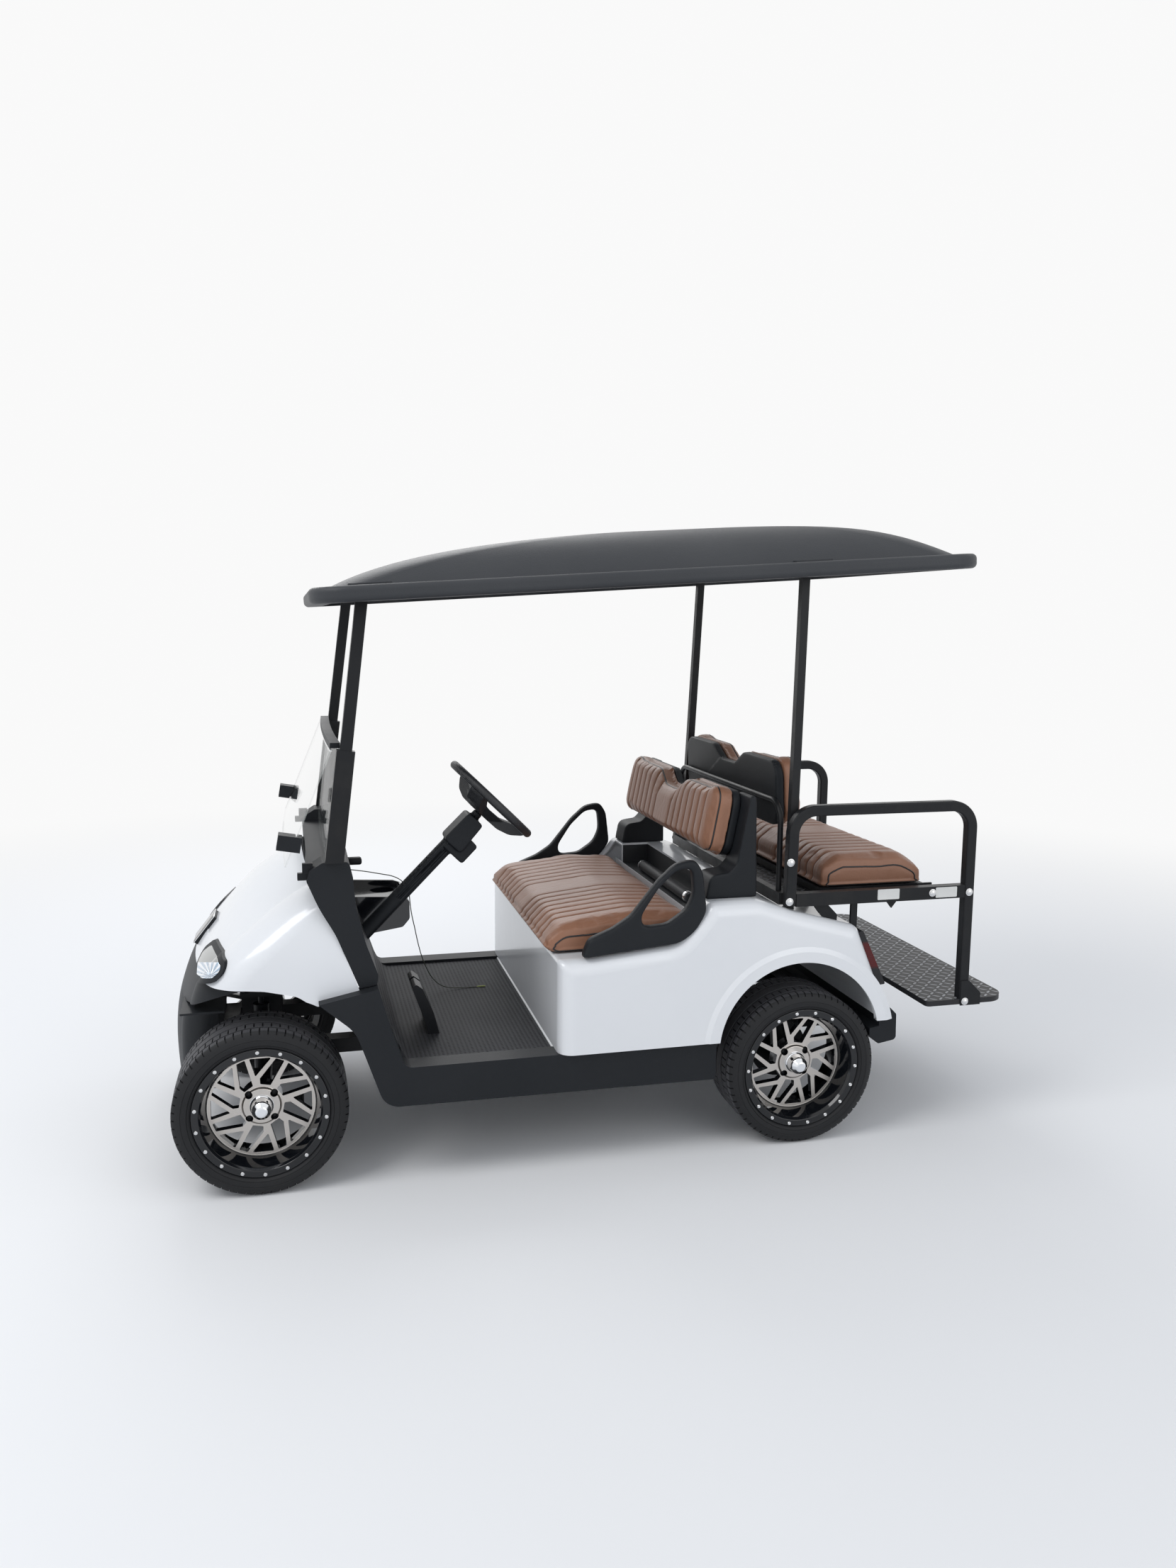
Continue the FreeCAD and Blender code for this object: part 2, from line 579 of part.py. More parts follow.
def bumper():
    def band(table, half, inset, rear):
        wires = [plan_section(level, rear, front_axle_x + nose - inset, half - inset, corner, bulge)
                 for level, nose, corner, bulge in table]
        return Part.makeLoft(wires, True, False)

    wall = s.cowl_wall + 1
    upper_rear = front_axle_x - 10
    chin_rear = front_axle_x + s.chin_rear
    upper = band(BUMPER, s.bumper_half_width, 0, upper_rear)
    upper = upper.cut(band(BUMPER, s.bumper_half_width, wall, upper_rear - 20))
    chin = band(CHIN, s.chin_half_width, 0, chin_rear).cut(band(CHIN, s.chin_half_width, wall, chin_rear - 20))
    shelf = block(front_axle_x + 100, front_axle_x + 225, -s.bumper_half_width + 60,
                  s.bumper_half_width - 60, s.bumper_split, s.bumper_split + 6)
    above = SEAM + [(300, 676, 0), (300, 780, 0), (-165, 780, 0)]
    above = [(front_axle_x + x + s.running_gap, z - s.running_gap, r) for x, z, r in above]
    wide = s.cowl_half_width + 20
    arch = rod((front_axle_x, -wide, s.hub_height), (front_axle_x, wide, s.hub_height), s.front_arch_radius)
    shape = joined([upper.cut(arch), chin, shelf]).cut(slab(above, "XZ", -wide, wide))
    return largest(shape.cut(block(s.overall_length / 2, s.overall_length, -wide, wide, 0, 900)))


shape_piece("front_bumper", bumper())

# Headlamps: a wrapped bezel and a clear lens let into each front corner of the cowl


def lamp_prism(points, grow):
    """Prism of the lamp's outline, aimed outwards from a front corner of the cowl."""
    centre_x = 143
    centre_y = 425
    heading = 40
    face = face_of(points, "XZ", 0)
    if grow:
        face = Part.Face(face.OuterWire.makeOffset2D(grow))
    prism = face.extrude(Vector(0, 330, 0))
    prism.translate(Vector(0, -160, 0))
    prism.rotate(Vector(), Vector(0, 0, 1), -heading)
    prism.translate(Vector(front_axle_x + centre_x, centre_y, 668))
    return prism


# lamp outline seen square on: (towards the nose, height, corner radius)
LAMP = [(128, -42, 24), (66, -60, 40), (-20, -44, 40), (-66, -34, 24), (-92, -8, 26), (-84, 20, 22), (-34, 31, 40),
        (88, 33, 50), (138, -2, 24)]


def lamp_parts():
    rim = lamp_prism(LAMP, 0).cut(lamp_prism(LAMP, -13))
    bezel = cowl_solid(-8).cut(cowl_solid(22)).common(rim)
    glass = lamp_prism(LAMP, -13 - s.running_gap)
    lens = cowl_solid(-9).cut(cowl_solid(4)).common(glass)
    return largest(bezel), largest(lens)


bezel_shape, lens_shape = lamp_parts()
shape_piece("headlamp_bezels", both_sides(bezel_shape))
shape_piece("headlamp_lenses", both_sides(lens_shape))
lamp_hole = lamp_prism(LAMP, s.running_gap)
for panel in PARTS:
    if panel.Label in ("front_cowl", "front_bumper"):
        panel.Shape = panel.Shape.cut([lamp_hole, lamp_hole.mirror(Vector(), Vector(0, 1, 0))])

# Dash: a hollow moulding with a pillar each side and a tray with two cup holders
# side view behind the front axle: (distance, height, corner radius)
DASH = [(-286, 598, 0), (-221, 762, 300), (-176, 842, 400), (-143, 922, 0), (-152, 952, 12), (-188, 975, 10),
        (-262, 975, 12), (-273, 930, 30), (-280, 841, 40), (-306, 732, 60), (-341, 633, 30), (-336, 606, 0)]


def dash_panel():
    outline = [(front_axle_x + x, z, r) for x, z, r in DASH]
    wide = s.cowl_half_width
    wall = 8
    solid = slab(outline, "XZ", -wide, wide)
    hollow = [(front_axle_x + x, z, r) for x, z, r in
              [(-150, 560, 0), (-322, 560, 0), (-328, 634, 20), (-296, 730, 60), (-271, 841, 40),
               (-265, 925, 20), (-150, 926, 0), (-100, 800, 0)]]
    solid = solid.cut(slab(hollow, "XZ", -wide + wall, wide - wall))
    middle = block(front_axle_x - 400, front_axle_x, -430, 430, 934, 1100)
    column_hole = rod(along_column(400), along_column(800), 24 + s.running_gap)
    return largest(solid.cut([middle, column_hole]))


def along_column(distance):
    """Point on the steering column's line, measured down from the steering wheel's centre."""
    tilt = math.radians(s.column_tilt)
    return (front_axle_x - 722 + distance * math.cos(tilt), s.column_y, 1100 - distance * math.sin(tilt))


shape_piece("dash_panel", dash_panel())


def dash_tray():
    front = front_axle_x - 290
    back = front_axle_x - 472
    outline = [(front, 690, 0), (front, 776, 0), (back + 32, 768, 12), (back, 757, 14), (back - 1, 694, 18),
               (back + 22, 667, 16), (back + 144, 648, 20)]
    tray = slab(outline, "XZ", -130, 130)
    recess = slab([(front - 8, 748, 0), (front - 8, 800, 0), (back + 12, 800, 0), (back + 12, 748, 8)],
                  "XZ", -120, 120)
    cups = [rod((back + 74, cup_y, 684), (back + 74, cup_y, 800), 40) for cup_y in (-66, 66)]
    dash = face_of([(front_axle_x + x, z, r) for x, z, r in DASH]).OuterWire.makeOffset2D(s.running_gap)
    dash.translate(Vector(0, -200, 0))
    return largest(tray.cut([recess, Part.Face(dash).extrude(Vector(0, 400, 0))] + cups))


shape_piece("dash_tray", dash_tray())

# Windscreen: two bowed panes; the upper one is folded down in front of the lower one


def pane(hinge_x, hinge_z, foot_x, foot_z, half, bow, thick):
    """A pane bowed forward in plan, standing from its foot up to the hinge line."""
    ring = [Part.Arc(Vector(0, -half, 0), Vector(bow, 0, 0), Vector(0, half, 0)).toShape(),
            Part.LineSegment(Vector(0, half, 0), Vector(thick, half, 0)).toShape(),
            Part.Arc(Vector(thick, half, 0), Vector(bow + thick, 0, 0), Vector(thick, -half, 0)).toShape(),
            Part.LineSegment(Vector(thick, -half, 0), Vector(0, -half, 0)).toShape()]
    face = Part.Face(Part.Wire(ring))
    face.translate(Vector(front_axle_x + foot_x, 0, foot_z))
    return face.extrude(Vector(hinge_x - foot_x, 0, hinge_z - foot_z))


# panes: (hinge x, hinge height, foot x, foot height, half width, bow, thickness)
LOWER_PANE = (-245.4, 1296, -207.6, 975.4, 476, 8, 5)
UPPER_PANE = (-222, 1296, -88, 966, 528, 8, 5)
shape_piece("windshield_lower", pane(*LOWER_PANE))
shape_piece("windshield_upper", pane(*UPPER_PANE))


def clips():
    """Clips that hold the folded pane, and the hinge strip between the panes."""
    gap = s.running_gap
    hinge_x, hinge_z, foot_x, foot_z, half, bow, thick = UPPER_PANE
    rear_x = LOWER_PANE[0]
    shapes = [pane(rear_x - 1.6, hinge_z + 16, rear_x, hinge_z + gap, LOWER_PANE[4], bow, hinge_x + thick - rear_x)]
    slot = pane(hinge_x - gap, hinge_z, foot_x - gap, foot_z, half + gap, bow, thick + 2 * gap)
    for side in (1, -1):
        inner, outer = sorted((side * (half - 46), side * (half + 8)))
        clip = block(-33, 33, inner, outer, -22, 22)
        clip.Placement = Placement(Vector(front_axle_x - 98, 0, 1033), Rotation(Vector(0, 1, 0), -10))
        shapes.append(clip.cut(slot))
    return Part.makeCompound([largest(shape) for shape in shapes])


shape_piece("windshield_clips", clips())

# Struts carry the roof: sleeved ones in front, plain ones behind


def front_strut():
    foot = Vector(front_axle_x - 220, s.strut_foot_y - 7, 965)
    head = Vector(front_axle_x - 319, s.strut_top_y - 2, 1745)
    step = foot + (head - foot) * 0.42
    sleeve = square_tube([foot, step], 0, 40, s.sleeve_width, (0, 1, 0))
    upper = square_tube([step, head], 0, s.strut_width, s.strut_width, (0, 1, 0))
    floor = block(front_axle_x - 400, front_axle_x, 0, 700, 900, 975 + s.running_gap)
    return joined([sleeve, upper]).cut(floor)


def under_roof(shape):
    """Trims a strut along the underside of the roof's rib."""
    lid = block(-s.roof_length, 0, -700, 700, 12 - s.running_gap, 400)
    lid.Placement = roof_place()
    return shape.cut(lid)


def roof_place():
    return Placement(Vector(front_axle_x + s.roof_front_x, 0, s.roof_front_z),
                     Rotation(Vector(0, 1, 0), s.roof_pitch))


shape_piece("front_struts", both_sides(under_roof(front_strut())))


def rear_strut():
    width = s.rear_strut_width
    foot = Vector(rear_axle_x + 34, s.kit_rail_y - 31, 740)
    head = Vector(rear_axle_x - 3, s.strut_top_y + 16, 1830)
    strut = square_tube([foot, head], 0, width, width, (0, 1, 0))
    return under_roof(strut).cut(body_solid(-s.running_gap, 340))


# Roof: a rim with a crowned shell over it, open below, with a rib over each pair of struts
# shell sections: (height over the rim, inset in front, inset behind, half width, corner radius)
ROOF = ((40, 48, 48, -46, 90), (92, 190, 140, -94, 120), (138, 420, 260, -160, 150),
        (166, 700, 440, -250, 160), (178, 930, 700, -380, 120))


def roof_ring(level, ahead, behind, half, corner):
    return face_of([(-ahead, half, corner), (-s.roof_length + behind, half, corner),
                    (-s.roof_length + behind, -half, corner), (-ahead, -half, corner)], "XY", level).OuterWire


def roof_shape():
    half = s.roof_half_width
    wall = s.roof_wall
    rim = Part.Face(roof_ring(0, 0, 0, half, 112)).extrude(Vector(0, 0, s.roof_rim))
    rim = rim.makeFillet(16, [edge for edge in rim.Edges
                              if all(v.Z > 1 for v in edge.Vertexes) or edge.BoundBox.ZMax < 1])
    hollow = Part.Face(roof_ring(-1, 60, 60, half - 60, 70)).extrude(Vector(0, 0, s.roof_rim + 2))
    outer = Part.makeLoft([roof_ring(z, a, b, half + w, r) for z, a, b, w, r in ROOF], True, False)
    inner = Part.makeLoft([roof_ring(z - wall, a + wall, b + wall, half + w - wall, r) for z, a, b, w, r in ROOF],
                          True, False)
    shell = outer.cut(inner)
    ribs = []
    for rib_x in (-168, -1500):
        rib = block(rib_x - 60, rib_x + 60, -half + 30, half - 30, 12, s.roof_rim + 130)
        ribs.append(rib.common(outer.fuse(Part.Face(roof_ring(5, 20, 20, half - 20, 84))
                                          .extrude(Vector(0, 0, s.roof_rim)))))
    return joined([rim.cut(hollow), shell] + ribs)


roof = shape_piece("roof", roof_shape())
roof.Placement = roof_place()

# Rear body: one hollow white moulding from the riser under the seat to the tail
# side view from the rear axle: (distance, height, corner radius)
BODY = [(0, 360, 0), (0, 650, 12), (-85, 652, 200), (-375, 682, 90), (-452, 770, 60), (-478, 806, 40),
        (-640, 806, 120), (-764, 762, 260), (-984, 702, 40), (-1066, 505, 40), (-1074, 430, 0), (-1052, 360, 0)]


def body_solid(inset, bottom):
    outline = [(rear_axle_x + s.riser_x + x, z if z > 361 else bottom, r) for x, z, r in BODY]
    face = face_of(outline, "XZ", 0)
    if inset:
        face = Part.Face(face.OuterWire.makeOffset2D(-inset))
    half = s.body_half_width - inset
    face.translate(Vector(0, -half, 0))
    solid = face.extrude(Vector(0, 2 * half, 0))
    edges = [edge for edge in solid.Edges
             if max(abs(abs(v.Y) - half) for v in edge.Vertexes) < 0.01 and edge.BoundBox.ZMax > bottom + 20]
    return solid.makeFillet(s.body_edge_radius - inset, edges)


def rear_body():
    wall = s.body_wall
    half = s.body_half_width
    shell = body_solid(0, 340).cut(body_solid(wall, 200))
    shell = shell.cut(block(rear_axle_x - 500, rear_axle_x + 1000, -900, 900, 100, 360))
    arch_x = rear_axle_x + s.rear_arch_x
    flare_out = half + s.flare_height
    ring = s.rear_arch_radius + s.flare_width
    flare = Part.makeCone(ring + 22, ring, s.flare_height + 3, Vector(arch_x, half - 3, s.rear_arch_z),
                          Vector(0, 1, 0))
    flare = flare.cut(block(arch_x - 500, arch_x + 500, half - 10, flare_out + 10, 0, 362))
    shell = joined([shell, flare, flare.mirror(Vector(), Vector(0, 1, 0))])
    shell = shell.cut(rod((arch_x, -700, s.rear_arch_z), (arch_x, 700, s.rear_arch_z), s.rear_arch_radius))
    shell = shell.cut(block(rear_axle_x - 500, arch_x, -900, 900, 100, 392))
    ledge = s.seat_hinge_z + 11.7
    seat_back = rear_axle_x + s.seat_hinge_x - 486
    floor = 731
    shell = shell.cut(block(seat_back, rear_axle_x + s.riser_x + 10, -508, 508, ledge, 900))
    shell = shell.cut(block(rear_axle_x + s.riser_x - 400, rear_axle_x + s.riser_x - 60, -430, 430, 600, 900))
    shell = shell.cut(block(seat_back - 104, seat_back + 1, -415, 415, 740, 900))
    trough = block(seat_back - 109, seat_back, -420, 420, floor - wall, 801)
    trough = trough.cut(block(seat_back - 104, seat_back + 10, -415, 415, floor, 900))
    ledge_wall = block(seat_back - wall, seat_back, -508, 508, ledge - wall, floor)
    return largest(joined([shell, trough, ledge_wall]))


shape_piece("rear_body", rear_body())


shape_piece("rear_struts", both_sides(rear_strut()))


def tail_lamp():
    outline = [(-187, 682, 3), (-203, 688, 4), (-290, 505, 4), (-262, 502, 3)]
    lens = slab([(rear_axle_x + x, z, r) for x, z, r in outline], "XZ", 500, 572)
    return largest(lens.cut(body_solid(0, 340)))


shape_piece("tail_lamps", both_sides(tail_lamp()))

side_piece("rear_bumper", [(rear_axle_x + x, z, r) for x, z, r in
                           [(-244, 330, 10), (-244, 356, 0), (-277, 362, 0), (-277, 420, 4), (-312, 424, 10),
                            (-338, 398, 10), (-340, 312, 14), (-276, 302, 10)]], "Sizes.body_half_width * 2 - 50")

# Seats: cushions on their base plates, backrests with dipped tops on moulded shells


def cushion(label, points, half, radius):
    solid = slab(points, "XZ", -half, half)
    edges = [edge for edge in solid.Edges if max(abs(abs(v.Y) - half) for v in edge.Vertexes) < 0.01]
    return shape_piece(label, solid.makeFillet(radius, edges))


seat_x = rear_axle_x + s.seat_hinge_x
seat_z = s.seat_hinge_z
cushion("front_cushion", [(seat_x + x, seat_z + z, r) for x, z, r in
                          [(0, 14, 14), (34, 44, 16), (-20, 88, 50), (-270, 116, 200), (-480, 104, 40),
                           (-480, 22, 16)]], s.seat_half_width, 12)
side_piece("front_cushion_base", [(seat_x + x, seat_z + z, r) for x, z, r in
                                  [(-6, 12.5, 0), (-6, 13.7, 0), (-60, 13.7, 0), (-478, 21.7, 0),
                                   (-478, 12, 0), (-300, 12, 0)]], "Sizes.seat_half_width * 2 - 60")

# hip restraint seen from the side, from the rear axle: outline, then its finger opening
HIP = [(733, 654, 8), (708, 716, 30), (632, 746, 60), (575, 782, 90), (490, 888, 120), (434, 938, 60),
       (372, 948, 26), (346, 905, 40), (331, 780, 60), (366, 716, 60), (420, 684, 80)]
HIP_OPENING = [(541, 783, 24), (490, 862, 100), (434, 914, 40), (384, 920, 16), (378, 840, 40),
               (398, 792, 60), (460, 750, 40), (545, 744, 20)]


def hip_restraint(side):
    near = s.body_half_width - 40
    far = s.body_half_width - 6
    levels = sorted((near * side, far * side))
    solid = slab([(rear_axle_x + x, z, r) for x, z, r in HIP], "XZ", *levels)
    gap = slab([(rear_axle_x + x, z, r) for x, z, r in HIP_OPENING], "XZ", levels[0] - 5, levels[1] + 5)
    solid = solid.makeFillet(9, [edge for edge in solid.Edges
                                 if max(abs(abs(v.Y) - far) for v in edge.Vertexes) < 0.01])
    return largest(solid.cut(gap).cut(body_solid(-s.running_gap, 340)))


for name, side in (("left", 1), ("right", -1)):
    shape_piece(f"hip_restraint_{name}", hip_restraint(side))


def backrest(label, half, foot_x, foot_z, lean, facing, front, back, inset, radius):
    """Backrest layer between two distances from the shell's back, with the dip in its top edge."""
    height = 226 - inset
    half = half - inset
    outline = [(-half, inset, 50), (half, inset, 50), (half, height, 56), (150, height, 60), (62, height - 48, 44),
               (-62, height - 48, 44), (-150, height, 60), (-half, height, 56)]
    solid = slab(outline, "YZ", front, back)
    edges = [edge for edge in solid.Edges
             if max(abs(v.X - back) for v in edge.Vertexes) < 0.01]
    solid = solid.makeFillet(radius, edges)
    part = shape_piece(label, solid)
    turn = Rotation(Vector(0, 0, 1), 0 if facing > 0 else 180)
    tilt = Rotation(Vector(0, 1, 0), -lean * facing)
    part.Placement = Placement(Vector(rear_axle_x + foot_x, 0, foot_z), tilt.multiply(turn))
    return part


shell_depth = 28
cushion_depth = s.back_thickness
for name, half, foot_x, foot_z, lean, facing in (("front", s.back_half_width, 216.3, 914, 10.8, 1),
                                                 ("rear", 438, 44, 1003, 3.0, -1)):
    backrest(f"{name}_backrest_shell", half, foot_x, foot_z, lean, facing, 0, shell_depth, 6, 5)
    backrest(f"{name}_backrest", half, foot_x, foot_z, lean, facing, shell_depth + s.running_gap,
             shell_depth + cushion_depth, 0, 24)

# seat towers carry the front backrest: side view from the rear axle
TOWER = [(318, 806.3, 0), (304, 880, 30), (240, 888, 24), (216, 914, 6), (175.5, 1126, 0), (156, 1130, 8),
         (148, 830, 10), (148, 806.3, 0)]
tower = slab([(rear_axle_x + x, z, r) for x, z, r in TOWER], "XZ", 420, 528)
shape_piece("seat_towers", both_sides(tower))
shape_piece("roll_tube", rod((rear_axle_x + 282, -258, 750.3), (rear_axle_x + 282, 258, 750.3), 19))

# Rear seat kit: steel frame, grab rails, flip seat, cargo deck and footplate


def grab_rail(side):
    y = side * s.kit_rail_y
    width = s.kit_tube
    top = 1080
    front = rear_axle_x + s.kit_front_x
    tail = rear_axle_x - 587
    rail = square_tube([(front, y, s.kit_side_z + 3), (front - 6, y, top), (tail, y, top),
                        (tail, y, s.platform_z + s.running_gap)], 75, width, width, (0, 1, 0))
    edges = [edge for edge in rail.Edges if edge.Length > 60]
    return rail.makeFillet(5, edges)


for name, side in (("left", 1), ("right", -1)):
    shape_piece(f"grab_rail_{name}", grab_rail(side))


def rear_seat_frame():
    """Side rails joined by a cross-bar, and a hoop between the grab rails that carries the backrest."""
    low = s.kit_side_z
    high = low + s.kit_side_height
    y = s.kit_rail_y
    gap = s.running_gap
    tail = rear_axle_x - 587 + s.kit_tube / 2 + gap
    front = rear_axle_x + s.kit_front_x - s.kit_tube / 2 - 1
    rail = block(tail, front, y - 16, y + 16, low, high)
    pin = rod((rear_axle_x + s.flip_x, y - 10, s.flip_z - 8), (rear_axle_x + s.flip_x, y - 80, s.flip_z - 8), 8)
    # strap and post under the rail, bolted to the body before and behind the wheel arch
    strap = slab([(rear_axle_x + x, z, 0) for x, z in
                  ((-36, low + 4), (-84, low + 4), (-124, 738), (-124, 700), (-98, 706), (-60, 748))],
                 "XZ", y - 14, y - 4)
    post = block(rear_axle_x - 195, rear_axle_x - 173, y - 14, y - 4, 690, low + 4)
    tab = slab([(rear_axle_x + x, z, 0) for x, z in
                ((-290, low + 4), (-334, low + 4), (-312, low - 24))], "XZ", y - 4, y + 4)
    side = joined([rail, pin, strap, post, tab]).cut(body_solid(-gap, 340))
    bar = block(rear_axle_x - 140, rear_axle_x - 110, -y, y, low + 2, s.flip_z + 1.4)
    carrier = joined([side, side.mirror(Vector(), Vector(0, 1, 0)), bar])
    hoop_x = rear_axle_x + 58.5
    inside = y - s.kit_tube / 2 - gap
    hoop = tube([(hoop_x, 490, high - 8), (hoop_x, 490, 1099), (hoop_x, -490, 1099), (hoop_x, -490, high - 8)],
                70, 9)
    foot = block(hoop_x - 11, hoop_x + 15, -inside, inside, low + 2, high - 2)
    return Part.makeCompound([carrier, joined([hoop, foot])])


shape_piece("rear_seat_frame", rear_seat_frame())

flip_x = rear_axle_x + s.flip_x
cushion("rear_cushion", [(flip_x + x, s.flip_z + z, r) for x, z, r in
                         [(392, 10, 16), (398, 72, 30), (330, 106, 60), (90, 104, 70), (14, 60, 30), (14, 10, 14)]],
        s.rear_cushion_half_width, 12)


def flip_plate():
    half = s.rear_cushion_half_width - 6
    plate = block(flip_x + 16, flip_x + 390, -half, half, s.flip_z + 1.7, s.flip_z + 9.7)
    ears = [block(flip_x - 14, flip_x + 40, side * half - 4, side * half + 4, s.flip_z - 22, s.flip_z + 9.7)
            for side in (1, -1)]
    bore = rod((flip_x, -600, s.flip_z - 8), (flip_x, 600, s.flip_z - 8), 8 + s.running_gap)
    return joined([plate] + ears).cut(bore)


shape_piece("rear_cushion_plate", flip_plate())


deck_half = s.kit_rail_y - 16 - s.running_gap
shape_piece("rear_deck", block(rear_axle_x - 470, rear_axle_x + 2, -deck_half, deck_half,
                               s.kit_side_z - 4, s.kit_side_z))


def footplate():
    half = s.platform_half_width
    top = s.platform_z
    tail = -s.overall_length / 2
    outline = [(rear_axle_x - 449, half + 24, 14), (tail, half + 24, 70), (tail, -half - 24, 70),
               (rear_axle_x - 449, -half - 24, 14)]
    plate = slab(outline, "XY", top - 18, top)
    arms = []
    for side in (1, -1):
        inner, outer = side * s.rail_y - 20, side * s.rail_y + 20
        arms.append(slab([(rear_axle_x - 250, s.rail_bottom - 34, 0), (rear_axle_x - 250, s.rail_bottom - 0.3, 0),
                          (rear_axle_x - 380, s.rail_bottom - 0.3, 20), (rear_axle_x - 470, top - 17, 0),
                          (rear_axle_x - 700, top - 17, 0), (rear_axle_x - 700, top - 44, 0),
                          (rear_axle_x - 480, top - 44, 0), (rear_axle_x - 390, s.rail_bottom - 34, 20)],
                         "XZ", inner, outer))
    return joined([plate] + arms)


shape_piece("footplate", footplate())

# Steering column, steering wheel and pedals


def steering_column():
    """Column with its housing under the steering wheel and the lock case at the housing's foot."""
    housing = slab([(-30, 0, 10), (32, 0, 10), (40, 112, 12), (-32, 112, 12)], "XZ", -44, 44)
    case = slab([(-10, 60, 8), (70, 60, 8), (70, 134, 8), (-10, 134, 8)], "XZ", -32, 32)
    shapes = [housing, case]
    for shape in shapes:
        shape.Placement = Placement(Vector(*along_column(78)), Rotation(Vector(0, 1, 0), s.column_tilt + 90))
    return joined([rod(along_column(58.3), along_column(80), 16), rod(along_column(180), along_column(640), 24)]
                  + shapes)


shape_piece("steering_column", steering_column())


def steering_wheel():
    ring = Part.makeTorus(s.wheel_ring_radius, s.wheel_ring_tube)
    dish = Part.makeCone(44, 78, 30, Vector(0, 0, -58))
    spoke = slab([(20, -58, 0), (74, -57, 60), (118, -44, 60), (s.wheel_ring_radius - 6, -16, 30),
                  (s.wheel_ring_radius, 4, 0), (s.wheel_ring_radius - 22, 2, 0), (66, -26, 30), (20, -28, 0)],
                 "XZ", -27, 27)
    spokes = []
    for angle in (180, 60, 300):
        arm = spoke.copy()
        arm.rotate(Vector(), Vector(0, 0, 1), angle)
        spokes.append(arm)
    return joined([ring, dish] + spokes)


wheel = shape_piece("steering_wheel", steering_wheel())
wheel.Placement = Placement(Vector(*along_column(0)), Rotation(Vector(0, 1, 0), s.column_tilt - 90))


def pedals():
    pad_side = [(-548, 350.3, 0), (-512, 350.3, 0), (-500, 400, 20), (-462, 505, 8), (-476, 516, 6),
                (-496, 500, 10), (-530, 420, 20)]
    outline = [(front_axle_x + x, z, r) for x, z, r in pad_side]
    return Part.makeCompound([slab(outline, "XZ", y, y + wide) for y, wide in ((120, 62), (200, 80))])


shape_piece("pedals", pedals())

# thin cord from the dash down to the floor mat, with its connector: (ahead, left, up)
CORD = [(-280, 124, 865), (-330, 112, 855), (-384, 98, 840), (-424, 90, 830), (-456, 84, 810), (-477, 74, 770),
        (-481, 60, 725), (-488, 42, 680), (-499, 18, 635), (-512, -20, 575), (-529, -62, 510), (-551, -104, 450),
        (-577, -138, 398), (-612, -152, 364), (-662, -156, 352.5), (-738, -160, 351.9)]


def cord():
    points = [(front_axle_x + x, y, z) for x, y, z in CORD]
    radii = []
    for index in range(1, len(points) - 1):
        before = Vector(*points[index]) - Vector(*points[index - 1])
        after = Vector(*points[index + 1]) - Vector(*points[index])
        turn = before.getAngle(after)
        radii.append(0.45 * min(before.Length, after.Length) / math.tan(turn / 2))
    print("cord bend radii", [round(radius) for radius in radii])
    return tube(points, radii, s.cord_radius)


shape_piece("thin_cord", cord())
plug_start = Vector(front_axle_x + CORD[-1][0] - s.running_gap, CORD[-1][1], 353)
shape_piece("cord_plug", rod(plug_start, plug_start + Vector(-30, 2, 0), 2.6))

doc.recompute()
for part in PARTS:
    if part.Shape.isNull() or not part.Shape.isValid() or {"Invalid", "Error"} & set(part.State):
        raise RuntimeError(f"{part.Label} is faulty: {part.State}")
os.makedirs("parts", exist_ok=True)
for part in PARTS:
    part.Shape.exportStep(f"parts/{part.Label}.step")
print(len(PARTS), "pieces written")
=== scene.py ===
"""Electric golf cart with a roof, a folding windscreen, a bench seat and a flip seat at the back."""

import math

import bmesh
import bpy
from mathutils import Matrix, Vector


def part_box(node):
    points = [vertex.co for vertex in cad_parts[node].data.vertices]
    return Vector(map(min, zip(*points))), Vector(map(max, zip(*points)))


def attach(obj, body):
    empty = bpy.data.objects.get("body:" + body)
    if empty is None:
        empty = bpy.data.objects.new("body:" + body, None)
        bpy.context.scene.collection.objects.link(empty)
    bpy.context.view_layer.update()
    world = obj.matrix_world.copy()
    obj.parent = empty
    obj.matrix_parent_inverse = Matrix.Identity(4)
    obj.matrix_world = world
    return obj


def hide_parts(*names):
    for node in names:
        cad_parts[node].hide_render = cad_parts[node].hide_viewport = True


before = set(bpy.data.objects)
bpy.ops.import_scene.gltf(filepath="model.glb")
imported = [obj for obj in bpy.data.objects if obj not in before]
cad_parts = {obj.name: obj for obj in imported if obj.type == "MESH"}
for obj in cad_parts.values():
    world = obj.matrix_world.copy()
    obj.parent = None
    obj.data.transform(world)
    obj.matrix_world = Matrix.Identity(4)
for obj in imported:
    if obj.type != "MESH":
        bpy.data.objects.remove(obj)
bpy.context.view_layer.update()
bpy.ops.object.select_all(action="DESELECT")
front_axle = 1.076
rear_axle = -0.594


